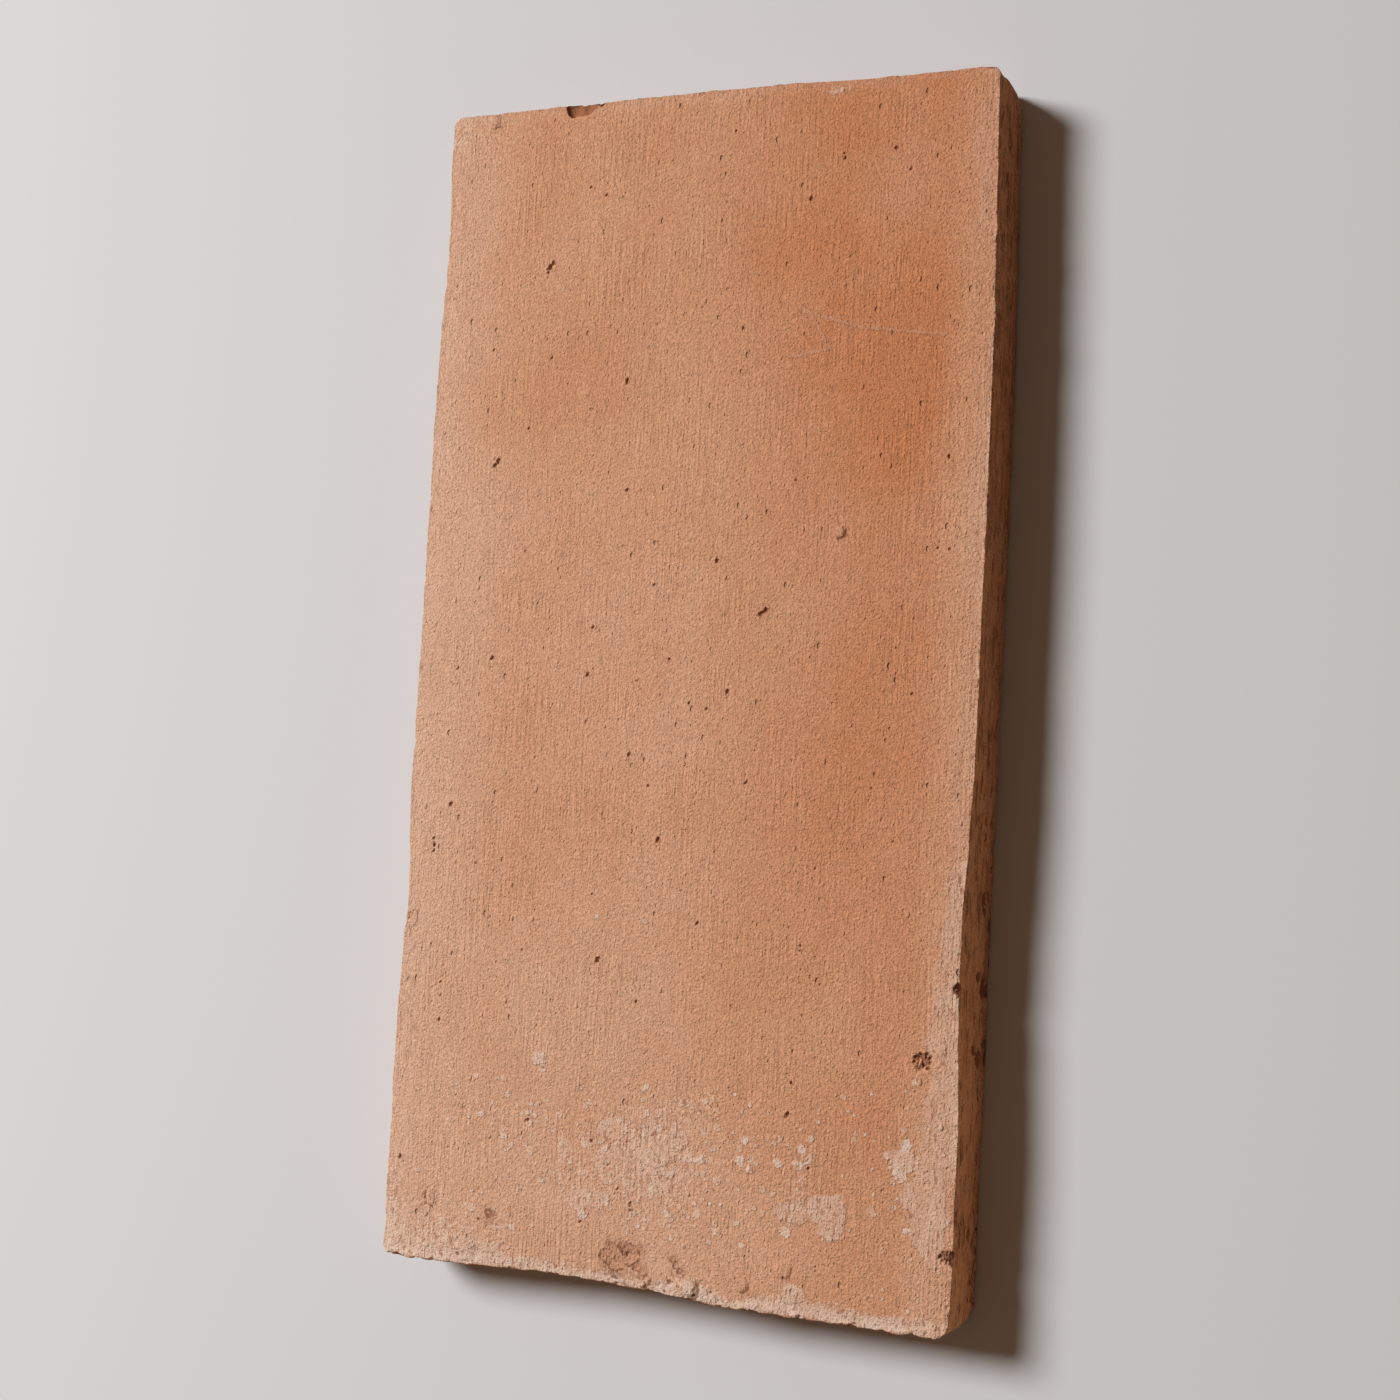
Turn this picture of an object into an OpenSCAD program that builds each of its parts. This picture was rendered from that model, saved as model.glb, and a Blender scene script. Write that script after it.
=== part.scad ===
// Terracotta floor tile: one fired clay slab, moulded by hand in a frame, struck off
// along its length and reclaimed from an old floor. It lies face up.
// The origin is the middle of the bed. +X runs across the tile, +Y along it and +Z up
// to the wear face. The right edge is at +X, the left at -X, the far end at +Y and the
// near end at -Y. Places along an edge are shares of its half length, from -1 to 1.

/* [Slab] */
// Width over the proudest stretches of the long edges
tile_w = 204; // [150:1:320]
// Length over the proudest stretches of the ends
tile_l = 401; // [300:1:520]
// Thickness from the bed to the wear face
tile_t = 28; // [20:0.5:50]

/* [Arrises] */
// Width worn off the proudest stretches of the arris round the wear face
face_arris_w = 2; // [0.6:0.1:4]
// Width worn off the proudest stretches of the arris round the bed
bed_arris_w = 1.5; // [0.6:0.1:4]

/* [Corners in plan] */
// Width worn off the far right corner
far_right_corner_w = 4; // [3:0.5:12]
// Width worn off the far left corner
far_left_corner_w = 4; // [3:0.5:12]
// Width worn off the near left corner
near_left_corner_w = 3; // [3:0.5:12]
// Width worn off the near right corner
near_right_corner_w = 6; // [3:0.5:12]

/* [Right edge] */
// Place where the far taper is deepest
right_taper_at = 1; // [0.8:0.05:1]
// Half length of the far taper
right_taper_half = 105; // [40:5:140]
// Depth of the far taper
right_taper_depth = 1.9; // [0.2:0.1:3]
// Place of the waist
right_waist_at = -0.42; // [-0.6:0.02:0.2]
// Half length of the waist
right_waist_half = 62; // [30:1:90]
// Depth of the waist at the wear face
right_waist_depth = 1.9; // [0.2:0.1:3]

/* [Left edge] */
// Place of the far hollow
left_far_at = 0.78; // [0.5:0.02:0.9]
// Half length of the far hollow
left_far_half = 66; // [30:1:90]
// Depth of the far hollow at the wear face
left_far_depth = 1.5; // [0.2:0.1:3]
// Place of the near hollow
left_near_at = -0.38; // [-0.6:0.02:0]
// Half length of the near hollow
left_near_half = 36; // [20:1:70]
// Depth of the near hollow at the wear face
left_near_depth = 1.4; // [0.2:0.1:3]

/* [Far end] */
// Place of the hollow, from left to right
far_hollow_at = 0.72; // [0.3:0.02:0.9]
// Half length of the hollow
far_hollow_half = 72; // [30:1:90]
// Depth of the hollow at the wear face
far_hollow_depth = 1.5; // [0.2:0.1:3]

/* [Near end] */
// Place of the hollow, from left to right
near_hollow_at = -0.3; // [-0.6:0.02:0.6]
// Half length of the hollow
near_hollow_half = 62; // [30:1:80]
// Depth of the hollow at the wear face
near_hollow_depth = 1.9; // [0.2:0.1:3]

/* [Far end chip] */
// Place of the chip, from left to right
far_chip_at = -0.48; // [-0.8:0.02:0.8]
// Half length of the chip along the arris
far_chip_half = 6.5; // [3:0.5:14]
// How far the chip reaches into the wear face
far_chip_in = 5; // [1:0.5:8]
// How far the chip reaches down the end
far_chip_drop = 4; // [1:0.5:8]

/* [Broken corners of the bed] */
// Break at the far right: length lost along the far end
far_break_across = 8; // [2:0.5:14]
// Break at the far right: length lost along the right edge
far_break_along = 12; // [2:0.5:16]
// Break at the far right: height lost up the corner
far_break_up = 12; // [4:0.5:18]
// Break at the near right: length lost along the near end
near_break_across = 6; // [2:0.5:14]
// Break at the near right: length lost along the right edge
near_break_along = 7; // [2:0.5:16]
// Break at the near right: height lost up the corner
near_break_up = 12; // [4:0.5:18]

/* [Nicks in the arris round the wear face] */
// Half length of the largest nick along the arris
nick_half = 4; // [1:0.1:7]
// How far the largest nick reaches across the wear face and down the edge
nick_reach = 1.6; // [0.5:0.1:3]

/* [Spall by the near end] */
// Place of the spall, from left to right
spall_at = -0.1; // [-0.7:0.02:0.7]
// Distance from the near end to the middle of the spall
spall_in = 12; // [9:0.5:30]
// Radius of the spall's largest dish
spall_r = 5; // [2:0.5:7]
// Depth of the spall
spall_depth = 1.4; // [0.4:0.1:3]

/* [Crumbled holes on the right] */
// Place of the hole in the wear face along the tile
crumb_at = -0.58; // [-0.8:0.02:0.8]
// Distance from the right edge to the middle of that hole
crumb_in = 12.5; // [6:0.5:40]
// Radius of that hole's mouth
crumb_r = 2.8; // [1:0.1:5]
// Depth of that hole
crumb_depth = 2; // [0.5:0.1:4]
// Place of the hole in the arris along the tile
bite_at = -0.875; // [-0.9:0.005:0.9]
// Half length of the hole in the arris
bite_half = 2.6; // [1:0.1:5]
// How far it reaches into the wear face and down the side
bite_reach = 2.4; // [0.8:0.1:5]

/* [Blister] */
// Radius of the raised blister on the wear face
blister_r = 2.4; // [1:0.1:5]
// Height of the blister above the wear face
blister_h = 0.5; // [0.2:0.1:1]

/* [Pits in the wear face] */
// Radius of the mouth of the largest pit
pit_r = 1.5; // [0.6:0.1:3]
// Depth of the largest pit
pit_depth = 1.1; // [0.4:0.1:2]

/* [Hidden] */
$fn = 40;

RIGHT = 0;
FAR = 1;
LEFT = 2;
NEAR = 3;

// Distance from the middle of the tile to each edge's outermost line, by edge
edge_out = [tile_w / 2, tile_l / 2, tile_w / 2, tile_l / 2];

// Half length of each edge
edge_half = [tile_l / 2, tile_w / 2, tile_l / 2, tile_w / 2];

// Seen along the way round the tile, an edge's own axis runs towards +Y on the right
// edge and +X at the near end, and the other way on the two edges opposite.
edge_sense = [1, -1, -1, 1];

// Width worn off the corner at the end of each edge, going round from the right edge
corner_w = [far_right_corner_w, far_left_corner_w, near_left_corner_w, near_right_corner_w];

// Hollows of each edge, in their order going round: place, half length, depth
hollows = [
    [[right_waist_at, right_waist_half, right_waist_depth],
     [right_taper_at, right_taper_half, right_taper_depth]],
    [[far_hollow_at, far_hollow_half, far_hollow_depth]],
    [[left_far_at, left_far_half, left_far_depth],
     [left_near_at, left_near_half, left_near_depth]],
    [[near_hollow_at, near_hollow_half, near_hollow_depth]]
];

// Nicks: edge, place, size as a share of the largest nick
nicks = [
    [RIGHT, 0.71, 0.6],
    [RIGHT, 0.245, 0.4],
    [RIGHT, -0.235, 0.5],
    [RIGHT, -0.465, 0.5],
    [NEAR, -0.94, 1],
    [NEAR, -0.35, 0.8],
    [NEAR, 0.15, 0.8],
    [NEAR, 0.54, 0.5],
    [NEAR, 0.69, 0.8],
    [FAR, -0.87, 0.4],
    [FAR, 0.95, 0.9],
    [LEFT, -0.6, 0.5]
];

// Pits: place across, place along, size as a share of the largest pit
pits = [
    [-0.57, 0.715, 1],
    [-0.257, 0.51, 0.6],
    [-0.735, 0.375, 0.75],
    [0.28, 0.117, 0.85],
    [0.105, 0.2, 0.6],
    [-0.343, 0.008, 0.6],
    [0.475, 0.865, 0.6],
    [-0.108, -0.53, 0.65],
    [-0.243, -0.467, 0.55],
    [-0.892, -0.295, 0.6],
    [0.65, 0.873, 0.55],
    [-0.93, -0.832, 0.7]
];

// Place of the blister across and along the face
blister_at = [0.52, 0.247];

// The flake beside the far end chip: its distance in half lengths of the chip, its size
flake_shift = 0.8;
flake_share = 0.45;

// Straight steps along half a hollow, round a corner and over a worn arris
hollow_steps = 5;
corner_steps = 5;
arris_steps = 4;

// A worn arris is an arc of this many times its width, so it meets both faces at an angle
bluntness = 1.5;

// How far a cutting shape reaches past the slab
over = 20;

function sum(list, i = 0) = i < len(list) ? list[i] + sum(list, i + 1) : 0;

// The depth of a hollow at the distance d from its middle: a smooth dip
function dip(half, depth, d) = abs(d) < half ? depth * (1 + cos(180 * d / half)) / 2 : 0;

// How far an edge lies inside its outermost line, at s along its own axis
function set_back(side, s) = sum([
    for (h = hollows[side]) dip(h[1], h[2], s - h[0] * edge_half[side])
]);

// Where an edge ends and the next one starts: out from the middle, and along the way round
function corner_out(side) =
    edge_out[side] - set_back(side, edge_sense[side] * edge_half[side]);
function corner_along(side) =
    let (next = (side + 1) % 4)
    edge_out[next] - set_back(next, -edge_sense[next] * edge_half[next]);

// A point beside an edge, out from the middle and s along the way round
function turn(side, out, s) =
    side == RIGHT ? [out, s] : side == FAR ? [-s, out] : side == LEFT ? [-out, -s] : [s, -out];

// The outline: the points of each edge's hollows, then the arc of the corner at its end
outline = [
    for (side = [RIGHT : NEAR])
        let (
            worn = corner_w[side],
            first = corner_w[(side + 3) % 4] - corner_out((side + 3) % 4),
            last = corner_along(side) - worn
        )
        each concat(
            [for (h = hollows[side]) for (i = [-hollow_steps : hollow_steps])
                let (
                    way = h[0] * edge_half[side] * edge_sense[side] + h[1] * i / hollow_steps,
                    out = edge_out[side] - set_back(side, way * edge_sense[side])
                )
                if (way > first + 1 && way < last - 1) turn(side, out, way)],
            [for (i = [0 : corner_steps])
                let (a = 90 * i / corner_steps)
                turn(side, corner_out(side) - worn * (1 - cos(a)), last + worn * sin(a))]
        )
];

// What wear takes off a square arris at the origin that the solid fills towards -X and
// -Y: all beyond an arc through the points [-worn, 0] and [0, -worn]
module wear(worn) {
    r = bluntness * worn;
    spread = asin(sqrt(0.5) / bluntness);
    centre = r * cos(45 - spread);
    polygon(concat(
        [for (i = [0 : arris_steps])
            let (a = 45 + spread * (1 - 2 * i / arris_steps))
            [r * cos(a) - centre, r * sin(a) - centre]],
        [[over, -worn], [over, over], [-worn, over]]
    ));
}

// Wear runs straight along each edge, so it rounds the proud stretches of an arris and
// leaves the arris of a hollow sharper
module worn_arrises() {
    for (side = [RIGHT : NEAR]) {
        length = 2 * edge_half[side] + over;
        rotate([0, 0, 90 * side])
            translate([edge_out[side], length / 2, 0])
                rotate([90, 0, 0])
                    linear_extrude(length) {
                        translate([0, tile_t]) wear(face_arris_w);
                        mirror([0, 1]) wear(bed_arris_w);
                    }
    }
}

// Puts its children at a place on an edge: +X points out of the edge, +Y runs the way
// round and z = 0 is the wear face
module at_edge(side, place) {
    s = place * edge_half[side];
    translate([0, 0, tile_t])
        rotate([0, 0, 90 * side])
            translate([edge_out[side] - set_back(side, s), s * edge_sense[side], 0])
                children();
}

// Puts its children on the wear face, at shares of the half width and half length
module on_face(across, along) {
    translate([across * tile_w / 2, along * tile_l / 2, tile_t]) children();
}

// A shell-shaped chip off an arris: the ball that cuts the given half length along the
// arris, the reach across the face and the drop down the edge
module chip(half, reach, drop) {
    out = (half * half - reach * reach) / (2 * reach);
    up = (half * half - drop * drop) / (2 * drop);
    translate([out, 0, up])
        sphere(r = sqrt(half * half + out * out + up * up));
}

// A round dish with the given mouth radius and depth, cut into the plane z = 0
module dish(mouth_r, depth) {
    r = (mouth_r * mouth_r + depth * depth) / (2 * depth);
    translate([0, 0, r - depth]) sphere(r = r);
}

// The block beyond the plane that cuts the three edges of a corner of the bed at the
// given lengths. The edges run along -X, along +Z and, away from the end at sense,
// along Y.
module corner_break(across, along, up, sense) {
    normal = [1 / across, sense / along, -1 / up];
    depth = 1 / norm(normal);
    rotate([0, acos(normal[2] * depth), atan2(normal[1], normal[0])])
        translate([-over, -over, -depth])
            cube([2 * over, 2 * over, depth + over]);
}

// The chip, and a smaller flake on the right of it
module far_end_chip() {
    at_edge(FAR, far_chip_at) {
        chip(far_chip_half, far_chip_in, far_chip_drop);
        translate([0, -flake_shift * far_chip_half, 0])
            chip(flake_share * far_chip_half, flake_share * far_chip_in,
                 flake_share * far_chip_drop);
    }
}

module broken_bed_corners() {
    translate([corner_out(RIGHT), corner_along(RIGHT), 0])
        corner_break(far_break_across, far_break_along, far_break_up, 1);
    translate([corner_along(NEAR), -corner_out(NEAR), 0])
        corner_break(near_break_across, near_break_along, near_break_up, -1);
}

module arris_nicks() {
    for (n = nicks)
        at_edge(n[0], n[1]) chip(nick_half * n[2], nick_reach * n[2], nick_reach * n[2]);
}

// The spall is a row of dishes: offset inwards and to the right in radii of the largest,
// radius and depth as shares of the largest
spall_dishes = [[0, 0, 1, 1], [0.1, 1, 0.8, 1], [-0.9, 1.1, 0.45, 0.6]];

module spall() {
    at_edge(NEAR, spall_at)
        for (d = spall_dishes)
            translate([-spall_in - d[0] * spall_r, d[1] * spall_r, 0])
                dish(d[2] * spall_r, d[3] * spall_depth);
}

// A crumbled hole is two dishes that run into each other
module crumbled_holes() {
    at_edge(RIGHT, crumb_at)
        translate([-crumb_in, 0, 0]) {
            dish(crumb_r, crumb_depth);
            translate([-0.5 * crumb_r, 0.6 * crumb_r, 0]) dish(0.6 * crumb_r, 0.7 * crumb_depth);
        }
    at_edge(RIGHT, bite_at) chip(bite_half, bite_reach, bite_reach);
}

module face_pits() {
    for (p = pits)
        on_face(p[0], p[1]) dish(pit_r * p[2], pit_depth * p[2]);
}

// The cap of a ball that stands out of the face
module blister() {
    r = (blister_r * blister_r + blister_h * blister_h) / (2 * blister_h);
    on_face(blister_at[0], blister_at[1])
        translate([0, 0, blister_h - r]) sphere(r = r);
}

// The slab with its worn arrises and all that has broken off its edges
module edged_slab() {
    difference() {
        linear_extrude(tile_t) polygon(outline);
        worn_arrises();
        far_end_chip();
        broken_bed_corners();
        arris_nicks();
    }
}

module tile() {
    color("peru")
        union() {
            difference() {
                edged_slab();
                spall();
                crumbled_holes();
                face_pits();
            }
            blister();
        }
}

tile();
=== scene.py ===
"""Terracotta floor tile: the fired clay slab with its relief and its finish, on a pale floor.

The tile's mesh is one closed skin. The wear face is a grid, the edge is a profile carried
along the outline, and the bed is a coarser grid. Edges are then split where pits, chips and
worn arrises need shorter ones. Every point moves along the skin's normal by the relief
there, and what has broken off pushes the points that it reaches on to its own surface.
Lengths in the tile's own functions are in millimetres. The right edge is at +X, the far end
at +Y and the wear face at +Z, and places on the face are shares of the half width and the
half length, from -1 to 1.
"""

import itertools
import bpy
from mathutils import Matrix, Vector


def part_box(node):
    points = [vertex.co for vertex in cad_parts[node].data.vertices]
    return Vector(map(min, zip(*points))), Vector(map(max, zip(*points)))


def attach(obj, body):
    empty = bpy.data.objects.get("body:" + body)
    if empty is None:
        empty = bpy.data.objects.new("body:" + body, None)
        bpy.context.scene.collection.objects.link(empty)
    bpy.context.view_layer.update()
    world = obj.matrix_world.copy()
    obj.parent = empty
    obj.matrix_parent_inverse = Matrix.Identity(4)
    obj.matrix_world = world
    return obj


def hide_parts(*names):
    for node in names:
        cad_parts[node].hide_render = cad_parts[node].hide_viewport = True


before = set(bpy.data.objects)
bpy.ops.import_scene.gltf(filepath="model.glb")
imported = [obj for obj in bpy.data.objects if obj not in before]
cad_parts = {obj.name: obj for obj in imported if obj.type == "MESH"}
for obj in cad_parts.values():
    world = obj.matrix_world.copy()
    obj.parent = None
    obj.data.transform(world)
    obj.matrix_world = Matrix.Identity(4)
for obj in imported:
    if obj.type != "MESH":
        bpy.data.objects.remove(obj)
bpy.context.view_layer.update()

from types import SimpleNamespace

import bpy
import numpy as np
from mathutils import Matrix, Vector

MM = 0.001

# ---------------------------------------------------------------- sizes from the frame

low, high = (np.array(corner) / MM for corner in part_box("tile"))
HALF_W = (high[0] - low[0]) / 2
HALF_L = (high[1] - low[1]) / 2
# The blister stands this far out of the wear face, so the box is higher than the tile is thick
BLISTER_H = 0.5
THICK = high[2] - low[2] - BLISTER_H

# ------------------------------------------------------------------------ the outline

RIGHT, FAR, LEFT, NEAR = SIDES = range(4)

# Hollows of each edge, as in the solid: place along the edge, half length, depth
HOLLOWS = {
    RIGHT: [(-0.42, 62, 1.9), (1, 105, 1.9)],
    FAR: [(0.72, 72, 1.5)],
    LEFT: [(0.78, 66, 1.5), (-0.38, 36, 1.4)],
    NEAR: [(-0.3, 62, 1.9)],
}
# Width worn off the corner at the end of each edge, going round from the right edge
CORNER_W = [4, 4, 3, 6]
# The waist of the right edge fades towards the bed, so only the wear face has it
FADING_HOLLOW = HOLLOWS[RIGHT][0]

EDGE_OUT = [HALF_W, HALF_L, HALF_W, HALF_L]
EDGE_HALF = [HALF_L, HALF_W, HALF_L, HALF_W]
# Going round anticlockwise, an edge's own axis runs with the way or against it
EDGE_SENSE = [1, -1, -1, 1]
EDGE_STEPS = 1500
ARC_STEPS = 40

# -------------------------------------------------------------------------- the grids

FACE_CELLS = (84, 172)
# The bed's grid has half as many cells each way, so its rim meets every other point
BED_CELLS = (FACE_CELLS[0] // 2, FACE_CELLS[1] // 2)
# The grids stop this far inside the outermost lines
MARGIN = 9.0
BAND_RINGS = 4
ARRIS_RINGS = 4
SIDE_RINGS = 10
BED_ARRIS_RINGS = 2
# The band of the wear face ends where its arris starts, this far inside the outline
ARRIS_START = 2.6
# Over this many points to each side of a corner the arris passes from one width to the next
ARRIS_BLEND = 8
# Where the rings in under the bed lie, inside the outline
BED_RINGS = (3.2, 5.4)

# The longest edge of a triangle on the plain parts of the skin, and at each kind of mark
FACE_EDGE = 3.2
SIDE_EDGE = 3.5
BED_EDGE = 6.4
ARRIS_EDGE = 1.00
CRUMBLE_EDGE = 0.72
PIT_EDGE = 0.38
CHIP_EDGE = 0.62
NICK_EDGE = 0.80
HOLLOW_EDGE = 1.30
SPOT_EDGE = 0.80
FLAKE_EDGE = 0.56
SCRATCH_EDGE = 0.55
# How many radii of a mark that length covers
MARK_REACH = 1.1
# How fast the length grows away from a mark, and how often an edge can be split
EDGE_GROWTH = 0.9
SPLITS = 7

# ---------------------------------------------------------------------- wear and chips

# Width of the arris round the wear face on each edge, and of the one round the bed
FACE_ARRIS = [0.7, 0.8, 0.8, 1.1]
BED_ARRIS = 1.5

# Pits in the wear face: place across, place along, radius in mm
PITS = [
    (-0.080, -0.856, 0.60), (-0.078, -0.868, 0.50), (-0.562, 0.721, 0.95), (-0.573, 0.714, 1.15),
    (-0.579, 0.705, 0.65), (-0.580, 0.696, 0.35), (-0.257, 0.509, 0.90), (-0.250, 0.506, 0.45),
    (-0.730, 0.377, 1.00), (-0.741, 0.370, 0.80), (0.271, 0.114, 1.15), (0.286, 0.119, 1.10),
    (0.105, 0.201, 0.95), (-0.343, 0.008, 0.85), (-0.708, 0.034, 0.80), (-0.838, 0.015, 0.55),
    (0.474, 0.870, 0.50), (0.477, 0.862, 0.60), (0.367, 0.798, 0.85), (0.700, 0.834, 0.60),
    (0.650, 0.871, 0.75), (0.090, 0.925, 0.60), (0.153, 0.589, 0.60), (0.365, 0.333, 0.60),
    (0.165, -0.015, 0.90), (0.786, -0.011, 0.55), (0.847, 0.220, 0.55), (0.886, 0.218, 0.60),
    (0.870, 0.365, 0.75), (0.726, 0.061, 0.45), (0.780, 0.108, 0.45), (-0.116, 0.161, 0.55),
    (-0.234, 0.322, 0.70), (-0.619, 0.433, 0.60), (-0.774, 0.574, 0.55), (-0.545, 0.555, 0.60),
    (-0.372, 0.834, 0.65), (-0.434, 0.850, 0.55), (-0.331, 0.089, 0.65), (-0.047, 0.037, 0.65),
    (0.032, -0.035, 0.60), (0.094, -0.044, 0.60), (-0.159, 0.000, 0.50), (-0.605, 0.219, 0.45),
    (-0.833, -0.221, 0.90), (-0.892, -0.281, 0.60), (-0.889, -0.293, 0.80), (-0.889, -0.303, 0.60),
    (-0.722, -0.320, 0.50), (-0.173, -0.124, 0.80), (-0.051, -0.262, 0.95), (-0.097, -0.174, 0.60),
    (-0.278, -0.359, 0.50), (-0.243, -0.467, 1.15), (0.103, -0.394, 0.75), (-0.098, -0.530, 0.65),
    (-0.526, -0.461, 0.50), (-0.656, -0.409, 0.45), (-0.878, -0.463, 0.50), (-0.833, -0.527, 0.55),
    (-0.830, -0.549, 0.50), (-0.828, -0.591, 0.65), (0.459, -0.418, 0.45), (0.458, -0.426, 0.45),
    (0.511, -0.433, 0.40), (0.247, -0.161, 0.60), (0.668, -0.162, 0.45), (0.747, -0.244, 0.45),
    (0.496, -0.294, 0.45), (0.235, -0.522, 0.45), (0.531, -0.476, 0.50), (0.452, -0.634, 0.65),
    (0.444, -0.685, 1.00), (0.523, -0.765, 0.65), (-0.948, -0.831, 0.90), (-0.231, -0.764, 0.65),
    (-0.128, -0.836, 0.50), (-0.255, -0.897, 0.65), (-0.078, -0.860, 0.45), (-0.078, -0.868, 0.45),
    (-0.166, -0.799, 0.45), (-0.632, -0.917, 0.50), (-0.467, -0.742, 0.65), (0.562, -0.915, 0.40),
    (0.562, -0.922, 0.40),
]
# How deep a pit is, as a share of its radius
PIT_DEPTH = 1.00

# Small pits crowded in a crumbled hole: place across, place along, radius of the hole
CRUMBLED_HOLES = [(0.874, -0.580, 3.0), (0.975, -0.872, 2.2), (0.985, -0.467, 2.4)]
# How many of those pits for each mm of the hole's radius, and their least and greatest radius
SMALL_PITS_PER_MM = 6
SMALL_PIT_R = (0.32, 0.75)

# Dishes where a flake came off the wear face: place across, along, radius and depth in mm
SPALLS = [
    (-0.122, -0.944, 4.2, 0.75),
    (-0.075, -0.939, 3.8, 0.95),
    (-0.152, -0.947, 2.6, 0.55),
    (-0.045, -0.955, 1.9, 0.85),
    (-0.030, -0.962, 1.3, 0.70),
    (0.078, -0.936, 1.2, 0.60),
    (0.090, -0.945, 1.5, 0.70),
    (0.104, -0.952, 1.1, 0.50),
    (-0.600, -0.905, 1.8, 0.30),
]

# Raised flakes and the blister: place across, place along, radius and height in mm
RAISED = [
    (0.522, 0.247, 2.0, 0.50),
    (0.138, -0.978, 3.4, 0.50),
    (-0.336, 0.607, 1.1, 0.20),
    (-0.320, 0.089, 0.9, 0.22),
    (0.320, -0.960, 2.2, 0.25),
    (0.455, -0.925, 2.8, 0.22),
    (-0.020, -0.975, 2.4, 0.30),
    (-0.380, -0.470, 1.6, 0.14),
    (0.610, -0.560, 1.3, 0.14),
]

# Scratches across the wear face: the places of both ends, and how strong
SCRATCHES = [
    ((-0.080, -0.860), (-0.088, -0.908), 3.0),
    ((0.360, 0.612), (0.560, 0.580), 0.8),
    ((0.560, 0.580), (0.840, 0.562), 1.0),
    ((0.322, 0.537), (0.458, 0.548), 0.7),
    ((0.395, 0.600), (0.440, 0.560), 0.6),
]

# Chips off the arris round the wear face: edge, place, half length, reach in, drop in mm
CHIPS = [
    (FAR, -0.516, 3.0, 4.8, 2.2),
    (FAR, -0.482, 5.2, 4.8, 1.9),
    (FAR, -0.442, 3.6, 2.8, 1.2),
    (FAR, -0.414, 1.4, 1.7, 2.6),
    (FAR, 0.95, 4.0, 1.5, 2.5),
    (FAR, -0.87, 1.8, 0.7, 0.7),
    (FAR, 0.36, 2.0, 0.5, 0.8),
    (FAR, 0.55, 3.0, 0.6, 0.9),
    (RIGHT, 0.71, 2.4, 0.9, 1.2),
    (RIGHT, 0.757, 1.6, 0.7, 0.9),
    (RIGHT, 0.245, 1.6, 0.5, 0.6),
    (RIGHT, -0.237, 2.0, 0.8, 1.0),
    (RIGHT, -0.305, 1.4, 0.6, 0.8),
    (RIGHT, -0.467, 2.4, 1.6, 2.4),
    (RIGHT, -0.875, 2.8, 2.5, 2.4),
    (NEAR, -0.94, 4.4, 1.6, 2.0),
    (NEAR, -0.80, 1.8, 0.8, 1.0),
    (NEAR, -0.35, 3.4, 1.3, 1.5),
    (NEAR, 0.15, 3.0, 1.3, 1.4),
    (NEAR, 0.33, 2.4, 0.9, 1.2),
    (NEAR, 0.54, 2.2, 0.8, 1.2),
    (NEAR, 0.69, 3.2, 1.2, 1.5),
    (NEAR, 0.86, 2.4, 0.9, 1.2),
    (LEFT, -0.60, 2.0, 0.8, 1.0),
    (LEFT, 0.12, 1.6, 0.6, 0.8),
    (LEFT, 0.52, 1.6, 0.6, 0.8),
]
# How many small nicks each arris has besides
NICKS = {RIGHT: 26, FAR: 18, LEFT: 36, NEAR: 26}
# Their least and greatest half length, in mm
NICK_HALF = (0.6, 1.9)

# Gouges in the right side: place along, height above the bed, half length, depth in mm
GOUGES = [
    (0.735, 24.0, 2.2, 0.6),
    (0.26, 13.0, 2.6, 0.5),
    (-0.33, 8.0, 3.0, 0.8),
    (-0.47, 5.0, 3.4, 0.9),
    (-0.58, 9.0, 2.4, 0.7),
    (-0.69, 22.0, 1.4, 0.5),
    (-0.72, 4.0, 3.6, 1.0),
    (-0.80, 11.0, 2.0, 0.6),
    (-0.93, 7.0, 3.0, 0.9),
]
# How many small hollows each side has besides
SIDE_HOLLOWS = {RIGHT: 22, FAR: 11, LEFT: 20, NEAR: 11}
# Their least and greatest reach, in mm
SIDE_HOLLOW_REACH = (0.8, 2.4)

# Corners broken off the bed: sense along X and Y, lengths lost across, along and up in mm
BROKEN_CORNERS = [(1, 1, 8, 12, 12), (1, -1, 6, 7, 12)]
# A break stays inside a box of this size round its corner
CORNER_BOX = 26

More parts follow.
